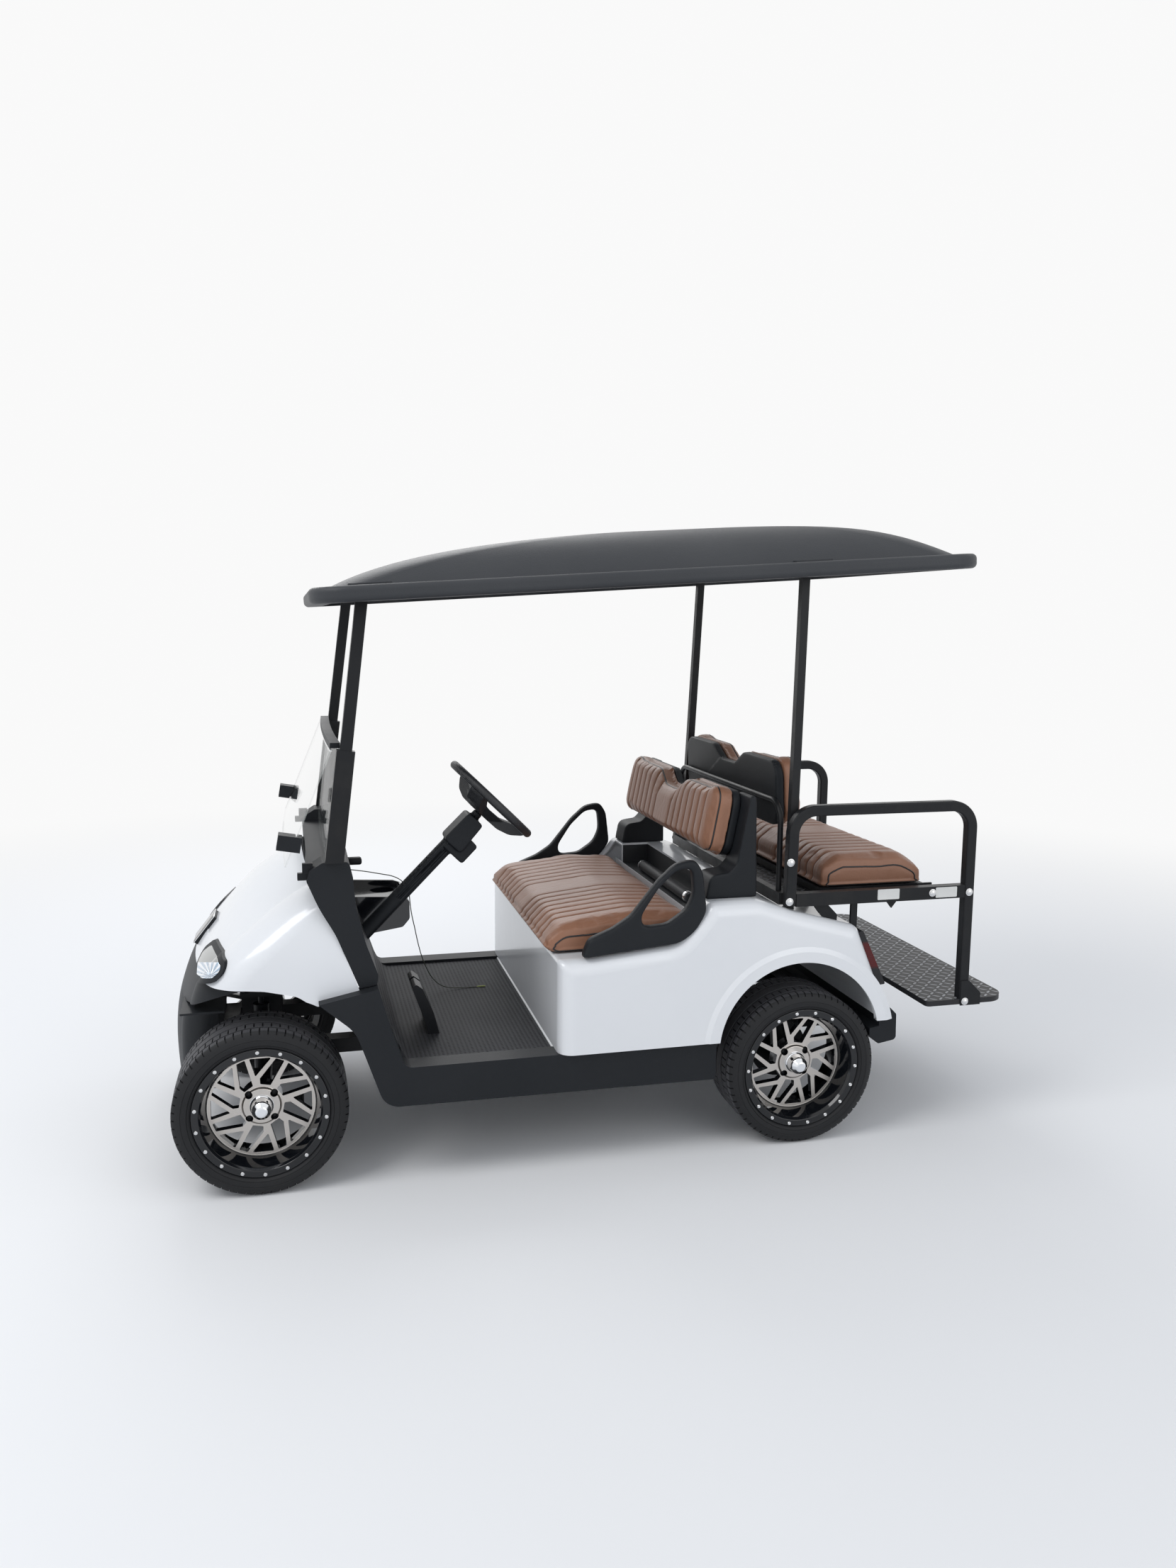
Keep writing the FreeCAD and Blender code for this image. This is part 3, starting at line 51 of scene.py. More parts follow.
# Chassis and running gear: welded steel rails, beam axle, knuckles and springs under the floor.
# Satin black powder coat, which has a fine orange peel and a little dust in patches.
class Wire:
    """A socket of a finish. Arithmetic on it adds Math nodes to that finish."""

    def __init__(self, tree, socket=None):
        self.tree = tree
        self.socket = socket

    def node(self, kind, settings=(), inputs=(), output=0):
        """Adds one node: its settings first, then the values or links of its sockets."""
        made = self.tree.nodes.new("ShaderNode" + kind)
        for name, value in dict(settings).items():
            if name == "stops":
                ramp = made.color_ramp.elements
                while len(ramp) < len(value):
                    ramp.new(0.5)
                for stop, (position, colour) in zip(ramp, value):
                    stop.position = position
                    stop.color = (*colour, 1)
            else:
                setattr(made, name, value)
        for name, value in dict(inputs).items():
            if isinstance(value, Wire):
                self.tree.links.new(value.socket, made.inputs[name])
            else:
                made.inputs[name].default_value = value
        return Wire(self.tree, made.outputs[output])

    def math(self, operation, *others):
        return self.node("Math", {"operation": operation}, dict(enumerate((self, *others))))

    def __add__(self, other):
        return self.math("ADD", other)

    __radd__ = __add__

    def __sub__(self, other):
        return self.math("SUBTRACT", other)

    def __rsub__(self, other):
        return self * -1.0 + other

    def __mul__(self, other):
        return self.math("MULTIPLY", other)

    __rmul__ = __mul__

    def __truediv__(self, other):
        return self.math("DIVIDE", other)

    def __gt__(self, other):
        return self.math("GREATER_THAN", other)

    def __lt__(self, other):
        return self.math("LESS_THAN", other)

    def __abs__(self):
        return self.math("ABSOLUTE")

    def wave(self, pitch):
        """Rises and falls between 0 and 1 once in every pitch."""
        return (self * (2 * math.pi / pitch)).math("COSINE") * 0.5 + 0.5

    def place(self):
        """Coordinates in the cart's own frame, in metres."""
        return self.node("TexCoord", output=3)

    def noise(self, scale, detail=2.0, roughness=0.5, stretch=None):
        vector = self.place()
        if stretch:
            vector = self.node("Mapping", {}, {"Vector": vector, "Scale": stretch})
        return self.node("TexNoise", {}, {"Vector": vector, "Scale": scale, "Detail": detail,
                                          "Roughness": roughness})

    def cells(self, scale):
        """Distance to the nearest point of a random scatter, as in leather grain."""
        return self.node("TexVoronoi", {}, {"Vector": self.place(), "Scale": scale})

    def axis(self, letter):
        return self.node("SeparateXYZ", {}, {0: self.place()}, "XYZ".index(letter))

    def facing(self, letter):
        """How far the surface faces along an axis of the cart."""
        return self.node("SeparateXYZ", {}, {0: self.node("TexCoord", output=1)}, "XYZ".index(letter))

    def blend(self, factor, first, second):
        """Mixes two colours."""
        return self.node("Mix", {"data_type": "RGBA"}, {0: factor, 6: first, 7: second}, 2)

    def between(self, low, high):
        """Stretches a value so that low gives 0 and high gives 1, with soft ends."""
        return self.node("MapRange", {"interpolation_type": "SMOOTHSTEP"}, {0: self, 1: low, 2: high})

    def bump(self, height, distance, under=None):
        inputs = {"Height": height, "Distance": distance, "Strength": 1.0}
        if under:
            inputs["Normal"] = under
        return self.node("Bump", {}, inputs)


def rgb(red, green, blue):
    return (red, green, blue, 1)


def finish(name, recipe, **fixed):
    """A material on the Principled shader; recipe gives what changes over the surface."""
    material = bpy.data.materials.new(name)
    material.use_nodes = True
    shader = material.node_tree.nodes["Principled BSDF"]
    for socket, value in fixed.items():
        shader.inputs[socket.replace("_", " ")].default_value = value
    for socket, wire in recipe(Wire(material.node_tree)).items():
        material.node_tree.links.new(wire.socket, shader.inputs[socket])
    return material


def coat(material, *nodes):
    """Puts a finish on CAD nodes."""
    for node in nodes:
        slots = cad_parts[node].data.materials
        slots.clear()
        slots.append(material)


def powder_coat(wire):
    dust = wire.noise(7, 5, 0.65).between(0.45, 0.8)
    return {"Base Color": wire.blend(dust * 0.25, rgb(0.012, 0.013, 0.015), rgb(0.05, 0.046, 0.04)),
            "Roughness": dust * 0.25 + 0.33, "Normal": wire.bump(wire.noise(900, 2), 0.0002)}


black_steel = finish("black_steel", powder_coat, Specular_IOR_Level=0.2)
coat(black_steel, "chassis_frame", "front_suspension", "rear_axle", "rear_springs", "knuckle_left",
     "knuckle_right", "pedals", "front_struts", "rear_struts", "grab_rail_left", "grab_rail_right",
     "rear_seat_frame", "rear_cushion_plate")


def case_plastic(wire):
    return {"Base Color": wire.blend(wire.noise(12, 4), rgb(0.035, 0.037, 0.04), rgb(0.06, 0.06, 0.062)),
            "Roughness": wire.noise(60) * 0.15 + 0.45}


coat(finish("battery_case", case_plastic), "battery_pack")


# Tyres: low road tyres on 10 inch rims, moulded black rubber with four grooves round the tread,
# cross cuts over both shoulders and two rings on each side wall. Each is spun from its section.
def begin(name, kind, **sizes):
    """Adds a primitive, opens it in edit mode and leaves nothing selected."""
    if bpy.context.object and bpy.context.object.mode == "EDIT":
        bpy.ops.object.mode_set(mode="OBJECT")
    bpy.ops.object.select_all(action="DESELECT")
    getattr(bpy.ops.mesh, f"primitive_{kind}_add")(**sizes)
    piece = bpy.context.object
    piece.name = name
    bpy.ops.object.mode_set(mode="EDIT")
    bpy.ops.mesh.select_mode(type="VERT")
    bpy.ops.mesh.select_all(action="DESELECT")
    return piece


def choose(piece, kind, test):
    """Selects the vertices, edges or faces whose middle, in the cart's frame, passes the test."""
    bpy.ops.mesh.select_mode(type=kind)
    bpy.ops.mesh.select_all(action="DESELECT")
    shape = bmesh.from_edit_mesh(piece.data)
    items = {"VERT": shape.verts, "EDGE": shape.edges, "FACE": shape.faces}[kind]
    for item in items:
        corners = [item] if kind == "VERT" else item.verts
        middle = sum((corner.co for corner in corners), Vector()) / len(corners)
        if test(piece.matrix_world @ middle):
            item.select_set(True)
    shape.select_flush_mode()
    bmesh.update_edit_mesh(piece.data)


def draw(name, points):
    """Starts a piece as a chain of vertices, drawn one after another from a plane merged to a point."""
    piece = begin(name, "plane", size=0.01, location=points[0])
    bpy.ops.mesh.select_all(action="SELECT")
    bpy.ops.mesh.merge(type="CENTER")
    for here, there in zip(points, points[1:]):
        bpy.ops.mesh.extrude_region_move(TRANSFORM_OT_translate={"value": Vector(there) - Vector(here)})
    return piece


def turned(name, section, centre, axis=(0, 1, 0), steps=24):
    """Spins a section of (radius, place along the axis) pairs, drawn from one end to the other."""
    axis = Vector(axis).normalized()
    across = Vector((axis.z, axis.x, axis.y)).cross(axis).normalized()
    centre = Vector(centre)
    piece = draw(name, [centre + across * radius + axis * along for radius, along in section])
    bpy.ops.mesh.select_all(action="SELECT")
    bpy.ops.mesh.spin(steps=steps, angle=2 * math.pi, center=centre, axis=axis)
    bpy.ops.mesh.select_all(action="SELECT")
    bpy.ops.mesh.remove_doubles(threshold=0.00002)
    bpy.ops.mesh.normals_make_consistent(inside=False)
    return piece


def settle(piece, material, body="chassis", smooth=35):
    """Leaves edit mode, places the mesh in the cart's frame and gives it its finish and body."""
    if bpy.context.object and bpy.context.object.mode == "EDIT":
        bpy.ops.object.mode_set(mode="OBJECT")
    bpy.ops.object.select_all(action="DESELECT")
    piece.select_set(True)
    bpy.context.view_layer.objects.active = piece
    bpy.ops.object.transform_apply(location=True, rotation=True, scale=True)
    bpy.ops.object.shade_smooth_by_angle(angle=math.radians(smooth))
    piece.data.materials.clear()
    piece.data.materials.append(material)
    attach(piece, body)
    return piece


def again(piece, name, move=(0, 0, 0), body=None, across=False):
    """Copies a finished piece with its own mesh, moved, or mirrored to the other side of the cart."""
    bpy.ops.object.select_all(action="DESELECT")
    piece.select_set(True)
    bpy.context.view_layer.objects.active = piece
    bpy.ops.object.duplicate(linked=False)
    copy = bpy.context.object
    copy.name = name
    bpy.ops.object.mode_set(mode="EDIT")
    bpy.ops.mesh.select_all(action="SELECT")
    if across:
        bpy.ops.transform.resize(value=(1, -1, 1), center_override=(0, 0, 0))
        bpy.ops.mesh.flip_normals()
    bpy.ops.transform.translate(value=move)
    bpy.ops.object.mode_set(mode="OBJECT")
    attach(copy, body or "chassis")
    return copy


wheels = {"front_left": (front_axle, 0.457), "front_right": (front_axle, -0.457),
          "rear_left": (rear_axle, 0.493), "rear_right": (rear_axle, -0.493)}
hub_height = 0.25
half_section = [(0.1800, 0.0790), (0.1790, 0.0822), (0.1936, 0.0836), (0.1958, 0.0930), (0.2010, 0.0985),
                (0.2040, 0.1004), (0.2052, 0.0992), (0.2066, 0.1010), (0.2140, 0.1022), (0.2200, 0.1024),
                (0.2216, 0.1012), (0.2232, 0.1022), (0.2300, 0.1002), (0.2385, 0.0962), (0.2440, 0.0925),
                (0.2474, 0.0890), (0.2488, 0.0850), (0.2492, 0.0680), (0.2430, 0.0668), (0.2430, 0.0600),
                (0.2494, 0.0588), (0.2497, 0.0270), (0.2434, 0.0258), (0.2434, 0.0190), (0.2499, 0.0178),
                (0.2500, 0.0000)]
tyre_section = half_section + [(radius, -across) for radius, across in reversed(half_section[:-1])]
cuts_round = 64
strips = 6
cut_depth = 0.0045
tyre = turned("road_tyre", tyre_section, (0, 0, 0), steps=cuts_round * strips)


def cross_cut(middle):
    """Takes every sixth strip of the shoulders and, a few strips on, of the ribs next to them."""
    radius = math.hypot(middle.x, middle.z)
    turn = math.atan2(middle.z, middle.x) / (2 * math.pi) % 1
    shoulder = radius > 0.2385 and abs(middle.y) > 0.068
    rib = radius > 0.2485 and 0.027 < abs(middle.y) < 0.058
    strip = int(turn * cuts_round * strips) % strips
    return shoulder and strip == 0 or rib and strip == (2 if middle.y > 0 else 4)


choose(tyre, "FACE", cross_cut)
bpy.ops.mesh.extrude_region_shrink_fatten(TRANSFORM_OT_shrink_fatten={"value": -cut_depth})


def road_rubber(wire):
    bloom = wire.noise(9, 4, 0.6)
    x = abs(wire.axis("X") - (front_axle + rear_axle) / 2) - (front_axle - rear_axle) / 2
    z = wire.axis("Z") - hub_height
    worn = (x * x + z * z).math("SQRT").between(0.2462, 0.2492)
    side_wall = wire.blend(bloom, rgb(0.009, 0.010, 0.012), rgb(0.022, 0.022, 0.023))
    return {"Base Color": wire.blend(worn * 0.8, side_wall, rgb(0.080, 0.080, 0.086)),
            "Roughness": bloom * 0.2 + 0.5, "Normal": wire.bump(wire.noise(600, 3), 0.0003)}


rubber = finish("tyre_rubber", road_rubber, Specular_IOR_Level=0.25)
settle(tyre, rubber, "wheel_front_left", 32)
for corner, (along, side) in wheels.items():
    fitted = again(tyre, f"road_tyre_{corner}", (along, side, hub_height), f"wheel_{corner}")
    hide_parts(f"tyre_{corner}")
bpy.data.objects.remove(tyre)


# Rims: cast aluminium, gloss black with the spokes' faces and the hub's slope left bright from the
# lathe. Eighteen small rivets stand on each lip, and the cap in the middle is chromed.
cap_radius = 0.0345
hub_edge = 0.064
spoke_tip = 0.1575
spoke_face = 0.0295
lip_face = 0.0950
rivet_circle = 0.1848
rivet_turns = {"front": -131.9, "rear": -97.8}
nut_offset = 0.0359


def two_tone_rim(along, side):
    """Bright where the rim faces outwards at the level of the spokes' faces, and black below it."""
    outer = side + math.copysign(spoke_face, side)

    def recipe(wire):
        x = wire.axis("X") - along
        z = wire.axis("Z") - hub_height
        radius = (x * x + z * z).math("SQRT")
        outward = wire.facing("Y") * math.copysign(1.0, side)
        proud = (wire.axis("Y") - outer) * math.copysign(1.0, side)
        spokes = (outward > 0.93) * (radius < spoke_tip) * (proud > 0) * (radius > cap_radius)
        hub_slope = (outward > 0.3) * (radius < hub_edge) * (proud > 0.0005) * (radius > cap_radius)
        machined = spokes.math("MAXIMUM", hub_slope)
        cap = (radius < cap_radius) * (proud > 0.001)
        bright = machined.math("MAXIMUM", cap)
        lathe = (radius * 6000.0).math("SINE") * 0.5 + 0.5
        silver = wire.blend(cap, rgb(0.56, 0.53, 0.50), rgb(0.82, 0.84, 0.87))
        smear = wire.noise(18, 4)
        return {"Base Color": wire.blend(bright, rgb(0.006, 0.007, 0.009), silver), "Metallic": bright,
                "Roughness": machined * (smear * 0.14 + 0.22) + (1 - machined) * 0.07,
                "Normal": wire.bump(lathe * machined, 0.00004)}
    return recipe


def bright_steel(wire):
    return {"Base Color": wire.blend(wire.noise(60, 3), rgb(0.62, 0.63, 0.65), rgb(0.8, 0.8, 0.8)),
            "Roughness": wire.noise(400) * 0.12 + 0.14}


def repeat_round(hub, copies):
    """Repeats what is in edit mode round the hub until there are so many of it."""
    bpy.ops.mesh.select_all(action="SELECT")
    bpy.ops.mesh.spin(steps=copies - 1, angle=2 * math.pi * (copies - 1) / copies, dupli=True, center=hub,
                      axis=(0, 1, 0))


zinc = finish("bright_steel", bright_steel, Metallic=1.0)
rivet_section = [(0.0062, -0.001), (0.0062, 0.0012), (0.0052, 0.0026), (0.0034, 0.0031), (0.0026, 0.0018),
                 (0.0, 0.0015)]
for corner, (along, side) in wheels.items():
    coat(finish(f"rim_{corner}_finish", two_tone_rim(along, side)), f"rim_{corner}")
    hub = (along, side, hub_height)
    phase = math.radians(rivet_turns[corner.split("_")[0]])
    out = math.copysign(1, side)
    first = (along - rivet_circle * math.cos(phase), side + out * lip_face,
             hub_height - rivet_circle * math.sin(phase))
    rivets = turned(f"rim_rivets_{corner}", rivet_section, first, (0, out, 0), 12)
    repeat_round(hub, 18)
    settle(rivets, zinc, f"wheel_{corner}")
    nuts = begin(f"lug_nuts_{corner}", "cylinder", vertices=6, radius=0.0094, depth=0.014,
                 location=(along + nut_offset, side + out * 0.020, hub_height + nut_offset),
                 rotation=(math.pi / 2, 0, 0))
    choose(nuts, "FACE", lambda middle: (middle.y - side) * out > 0.0265)
    bpy.ops.mesh.inset(thickness=0.0022)
    bpy.ops.transform.translate(value=(0, out * 0.0018, 0))
    bpy.ops.mesh.inset(thickness=0.0024)
    bpy.ops.transform.translate(value=(0, -out * 0.004, 0))
    repeat_round(hub, 4)
    settle(nuts, black_steel, f"wheel_{corner}")


# Floor: a moulded rubber mat with rows of small pits lies on the steel floor and up the toe board.
# A strip of the white body moulding closes it against the seat box.
def pitted_rubber(wire):
    row = wire.axis("X").wave(0.0135)
    step = (wire.axis("Y") + wire.axis("X") * 0.5).wave(0.0125)
    # The pits are sunk by the bump and painted near-black as shade.
    pit_and_painted_shade = (row * step).between(0.35, 0.7)
    rib = row.between(0.2, 0.8)
    dust = wire.noise(5, 5, 0.6)
    colour = wire.blend(dust, rgb(0.030, 0.032, 0.037), rgb(0.055, 0.056, 0.06))
    return {"Base Color": wire.blend(pit_and_painted_shade, colour, rgb(0.006, 0.006, 0.008)),
            "Roughness": dust * 0.2 + 0.6, "Normal": wire.bump(rib * -0.4 - pit_and_painted_shade, 0.0014)}


coat(finish("mat_rubber", pitted_rubber, Specular_IOR_Level=0.25), "floor_mat")


well = {"back": -0.3795, "front": -0.2785, "side": 0.4155, "floor": 0.7285, "top": 0.7985}


def white_moulding(wire):
    """White all over, but for painted shade: the inside of the bag well is painted near-black."""
    haze = wire.noise(3, 4)
    white = wire.blend(haze, rgb(0.76, 0.775, 0.795), rgb(0.80, 0.81, 0.825))
    x, y, z = wire.axis("X"), abs(wire.axis("Y")), wire.axis("Z")
    # The inside of the bag well, within these bounds, is painted near-black as shade.
    painted_well_shade = (x > well["back"]) * (x < well["front"]) * (y < well["side"])
    painted_well_shade = painted_well_shade * (z < well["top"]) * (z > well["floor"])
    return {"Base Color": wire.blend(painted_well_shade, white, rgb(0.014, 0.016, 0.019)),
            "Roughness": haze * 0.1 + 0.16 + painted_well_shade * 0.3, "Normal": wire.bump(wire.noise(14, 2), 0.0004)}


white_body = finish("white_body", white_moulding, Coat_Weight=0.35, Coat_Roughness=0.05)


def thicken(width):
    """Fills the outline that draw made and extrudes it so far across the cart."""
    bpy.ops.mesh.select_all(action="SELECT")
    bpy.ops.mesh.edge_face_add()
    bpy.ops.mesh.extrude_region_move(TRANSFORM_OT_translate={"value": (0, width, 0)})
    bpy.ops.mesh.select_all(action="SELECT")
    bpy.ops.mesh.normals_make_consistent(inside=False)


half_strip = 0.497
strip_outline = ((0.1995, 0.3502), (0.2065, 0.3502), (0.2065, 0.3535), (0.2010, 0.3600), (0.1995, 0.3600))
strip = draw("mat_edge_strip", [(x, -half_strip, z) for x, z in strip_outline])
thicken(2 * half_strip)
settle(strip, white_body)


# Body: one white moulded cowl over a matt black bumper and two black sills, screwed to the frame. Seat box
# and rear wings are one white moulding with round flares; the inside of its bag well is painted near-black as
# shade.
# The plate on the nose is left bare.
def black_moulding(wire):
    grain = wire.cells(420)
    sun = wire.noise(4, 4)
    return {"Base Color": wire.blend(sun, rgb(0.011, 0.013, 0.016), rgb(0.019, 0.021, 0.024)),
            "Roughness": sun * 0.15 + 0.40, "Normal": wire.bump(grain, 0.00025)}


moulded_black = finish("moulded_black", black_moulding, Specular_IOR_Level=0.18)


def gloss_moulding(wire):
    smear = wire.noise(11, 5, 0.6)
    return {"Base Color": wire.blend(smear, rgb(0.005, 0.006, 0.009), rgb(0.012, 0.013, 0.016)),
            "Roughness": smear * 0.14 + 0.06}


gloss_black = finish("gloss_black", gloss_moulding, Coat_Weight=0.5)
beak_edge = 0.6165


def bumper_moulding(wire):
    """Black, with a white beak above the edge where the cowl runs on into it."""
    beak = wire.axis("Z").between(beak_edge, beak_edge + 0.0015)
    sun = wire.noise(4, 4)
    black = wire.blend(sun, rgb(0.013, 0.015, 0.018), rgb(0.022, 0.024, 0.027))
    return {"Base Color": wire.blend(beak, black, rgb(0.78, 0.79, 0.81)), "Coat Weight": beak * 0.35,
            "Roughness": sun * 0.1 + 0.42 - beak * 0.22, "Normal": wire.bump(wire.cells(420), 0.0002)}


coat(finish("bumper_skin", bumper_moulding, Coat_Roughness=0.05, Specular_IOR_Level=0.2), "front_bumper")
coat(white_body, "front_cowl", "rear_body")
coat(moulded_black, "rocker_panels", "dash_panel", "rear_bumper", "headlamp_bezels",
     "front_cushion_base", "windshield_clips")
slot_height = 0.560
slot = begin("seat_box_slot", "cylinder", vertices=24, radius=0.011, depth=0.004,
             location=(0.2015, 0.020, slot_height), rotation=(0, math.pi / 2, 0))
choose(slot, "VERT", lambda middle: middle.z > slot_height + 0.0001)
bpy.ops.transform.translate(value=(0, 0, 0.008))
choose(slot, "VERT", lambda middle: middle.z < slot_height - 0.0001)
bpy.ops.transform.translate(value=(0, 0, -0.008))
choose(slot, "FACE", lambda middle: middle.x > 0.2030)
bpy.ops.mesh.inset(thickness=0.003)
bpy.ops.transform.translate(value=(-0.0016, 0, 0))
settle(slot, moulded_black)


badge_tilt = math.radians(-38)
badge_place = (1.2525, 0.6745)
badge_layers = (("nose_badge", moulded_black, 0.104, 0.101, 0.0150, -0.0085),
                ("nose_badge_edge", zinc, 0.107, 0.104, 0.0028, -0.0014),
                ("nose_badge_face", gloss_black, 0.101, 0.098, 0.0020, 0.0))
for name, material, length, width, thick, lift in badge_layers:
    place = (badge_place[0] + lift * math.cos(badge_tilt), 0, badge_place[1] - lift * math.sin(badge_tilt))
    badge = begin(name, "cube", size=1, location=place, rotation=(0, badge_tilt, 0),
                  scale=(thick, width, length))
    bpy.ops.mesh.select_all(action="SELECT")
    bpy.ops.mesh.bevel(offset=thick * 0.3, segments=3, affect="EDGES")
    settle(badge, material)


# Lamps: a clear cover over a chromed bowl whose lower half is cut in rays, grey above it, in a thick
# black ring. The tail lamps are dark covers with a red glass in the middle.
def lamp_bowl(wire):
    """Rays fan out from a low point in front and end where height, along the lamp's slope, is 0."""
    x, y, z = wire.axis("X"), abs(wire.axis("Y")), wire.axis("Z")
    height = z * 0.9574 - x * 0.0636 - y * 0.2815 - 0.4477
    across = 1.2698 - x * 0.9973 - y * 0.064 - z * 0.0355
    ray = ((height + 0.038).math("ARCTAN2", across - 0.012) * 17.0).math("SINE") * 0.5 + 0.5
    lower = 1 - height.between(-0.0008, 0.0012)
    # The rays are painted pale blue and white by turns: painted reflection in the chrome.
    painted_ray_reflection = wire.blend(ray.between(0.2, 0.7), rgb(0.34, 0.47, 0.62), rgb(0.90, 0.94, 1.0))
    upper = wire.blend(height.between(0.0, 0.05), rgb(0.17, 0.18, 0.17), rgb(0.27, 0.28, 0.27))
    return {"Base Color": wire.blend(lower, upper, painted_ray_reflection), "Metallic": lower * 0.6 + 0.2,
            "Roughness": lower * 0.1 + 0.1, "Normal": wire.bump(ray * lower, 0.0022)}


coat(finish("lamp_bowl", lamp_bowl, Coat_Weight=1.0, Coat_Roughness=0.02), "headlamp_lenses")


def tail_glass(wire):
    height = wire.axis("Z")
    red = height.between(0.555, 0.57) * (1 - height.between(0.64, 0.655))
    prism = height.wave(0.006) * wire.axis("Y").wave(0.006)
    glass = wire.blend(prism, rgb(0.07, 0.003, 0.004), rgb(0.17, 0.007, 0.009))
    return {"Base Color": wire.blend(red, rgb(0.012, 0.012, 0.014), glass),
            "Roughness": prism * 0.1 + 0.12, "Normal": wire.bump(prism * red, 0.0006)}


coat(finish("tail_glass", tail_glass, Coat_Weight=0.15, Specular_IOR_Level=0.3), "tail_lamps")


# Dash: matt black moulding across the cart, with a gloss black tray and two cup holders hung below it.
# A flat paddle for the direction stands out of it beside the column.
coat(gloss_black, "dash_tray")
paddle = begin("direction_paddle", "cube", size=1, location=(0.776, 0.060, 0.8795),
               scale=(0.050, 0.030, 0.024))
choose(paddle, "FACE", lambda middle: middle.x < 0.755)
bpy.ops.transform.resize(value=(1, 1.15, 1.0))
bpy.ops.mesh.select_all(action="SELECT")
bpy.ops.mesh.bevel(offset=0.008, segments=4, affect="EDGES")
settle(paddle, moulded_black)


# Windscreen: two clear plastic panes, the upper one folds down on a strip of bright hinge. Black blocks
# on the struts clip it, and two small black brackets hold its foot on each side.
hinge_foot = 1.290
hinge_top = 1.318
hinge_fade = 0.006


def clear_pane(wire):
    height = wire.axis("Z")
    above = height.between(hinge_foot, hinge_foot + hinge_fade)
    hinge = above * (1 - height.between(hinge_top - hinge_fade, hinge_top))
    tint = wire.blend(wire.noise(2, 3), rgb(0.46, 0.50, 0.47), rgb(0.56, 0.59, 0.57))
    return {"Roughness": wire.noise(30) * 0.04 + 0.02, "Alpha": hinge * 0.65 + 0.22,
            "Base Color": wire.blend(hinge, tint, rgb(0.92, 0.93, 0.92))}


coat(finish("clear_pane", clear_pane, Coat_Weight=1.0), "windshield_lower", "windshield_upper")
pane_feet = ((0.9290, 0.9540, 0.030, 0.030), (0.9355, 0.9310, 0.045, 0.020))
for number, (x, z, length, height) in enumerate(pane_feet):
    block = begin(f"pane_foot_left_{number + 1}", "cube", size=1, location=(x, 0.499, z),
                  scale=(length, 0.022, height))
    choose(block, "FACE", lambda middle: middle.y > 0.509)
    bpy.ops.mesh.inset(thickness=0.004)
    bpy.ops.transform.translate(value=(0, -0.002, 0))
    bpy.ops.mesh.select_all(action="SELECT")
    bpy.ops.mesh.bevel(offset=0.0018, segments=2, affect="EDGES")
    settle(block, moulded_black)
    again(block, f"pane_foot_right_{number + 1}", across=True)


# Roof: one vacuum-formed sheet of black plastic with a grained skin, stepped round its edge to stiffen
# it. It is screwed down on four steel struts.
def grained_sheet(wire):
    grain = wire.noise(260, 4, 0.6)
    weather = wire.noise(2.2, 5, 0.6)
    return {"Base Color": wire.blend(weather, rgb(0.028, 0.031, 0.036), rgb(0.052, 0.055, 0.06)),
            "Roughness": grain * 0.2 + 0.38, "Normal": wire.bump(grain, 0.0008)}


coat(finish("roof_sheet", grained_sheet, Specular_IOR_Level=0.3), "roof")


# Seats: foam under saddle-brown vinyl, sewn in two groups of seven seams that run front to back on the
# cushions and up the backs. Black piping closes the ends, and moulded black shells carry the backs.
first_seam = 0.080
seam_pitch = 0.052
seams_a_side = 7
seam_depth = 0.0052
seam_width = 0.0055
piping_radius = 0.0027
cushions_top = 0.80
between_backs = -0.5
cloth_frames = 20
most_swell = 0.012
end_swell = 0.004
front_lean = math.radians(10.8)
rear_lean = math.radians(177.0)
front_piping = (-0.307, 0, 0.9275)
rear_piping = (-0.6219, 0, 1.0067)


def sewn_vinyl(wire):
    """Seams painted near-black as shade on the cushions and, on the backs, only ahead of the piping."""
    x, z = wire.axis("X"), wire.axis("Z")
    side = (abs(wire.axis("Y")) - first_seam) / seam_pitch
    off = abs((side + 0.5).math("FRACT") - 0.5) * seam_pitch
    inside = (side > -0.2) * (side < 6.2)
    sewn = z < cushions_top
    for point, turn, back in ((front_piping, front_lean, x > between_backs),
                              (rear_piping, rear_lean, x < between_backs)):
        ahead = (x - point[0]) * math.cos(turn) + (z - point[2]) * math.sin(turn)
        sewn = sewn.math("MAXIMUM", (ahead > 0.003) * back)
    # Each seam line is painted near-black: painted shade in its groove.
    painted_seam_shade = (1 - off.between(0.0006, 0.0030)) * inside * sewn
    wear = wire.noise(6, 4, 0.6)
    leather = wire.cells(520)
    pleats = wire.noise(34, 3, 0.5, (1.0, 2.5, 1.0))
    hide = wire.blend(wear, rgb(0.245, 0.108, 0.058), rgb(0.320, 0.152, 0.088))
    return {"Base Color": wire.blend(painted_seam_shade * 0.88, hide, rgb(0.020, 0.012, 0.010)),
            "Roughness": leather * 0.12 + 0.36,
            "Normal": wire.bump(leather, 0.00022, wire.bump(pleats, 0.0016))}


vinyl = finish("seat_vinyl", sewn_vinyl, Sheen_Weight=0.15, Sheen_Roughness=0.5)


def piping_vinyl(wire):
    return {"Base Color": wire.blend(wire.noise(80), rgb(0.010, 0.010, 0.012), rgb(0.02, 0.02, 0.021)),
            "Roughness": wire.noise(300) * 0.15 + 0.35}


piping_black = finish("piping_black", piping_vinyl)


def copied(name, mesh):
    """Puts a copy of a mesh in the scene and opens it in edit mode with all of it selected."""
    bpy.ops.object.select_all(action="DESELECT")
    piece = bpy.data.objects.new(name, mesh.copy())
    bpy.context.scene.collection.objects.link(piece)
    piece.select_set(True)
    bpy.context.view_layer.objects.active = piece
    bpy.ops.object.mode_set(mode="EDIT")
    bpy.ops.mesh.select_all(action="SELECT")
    return piece


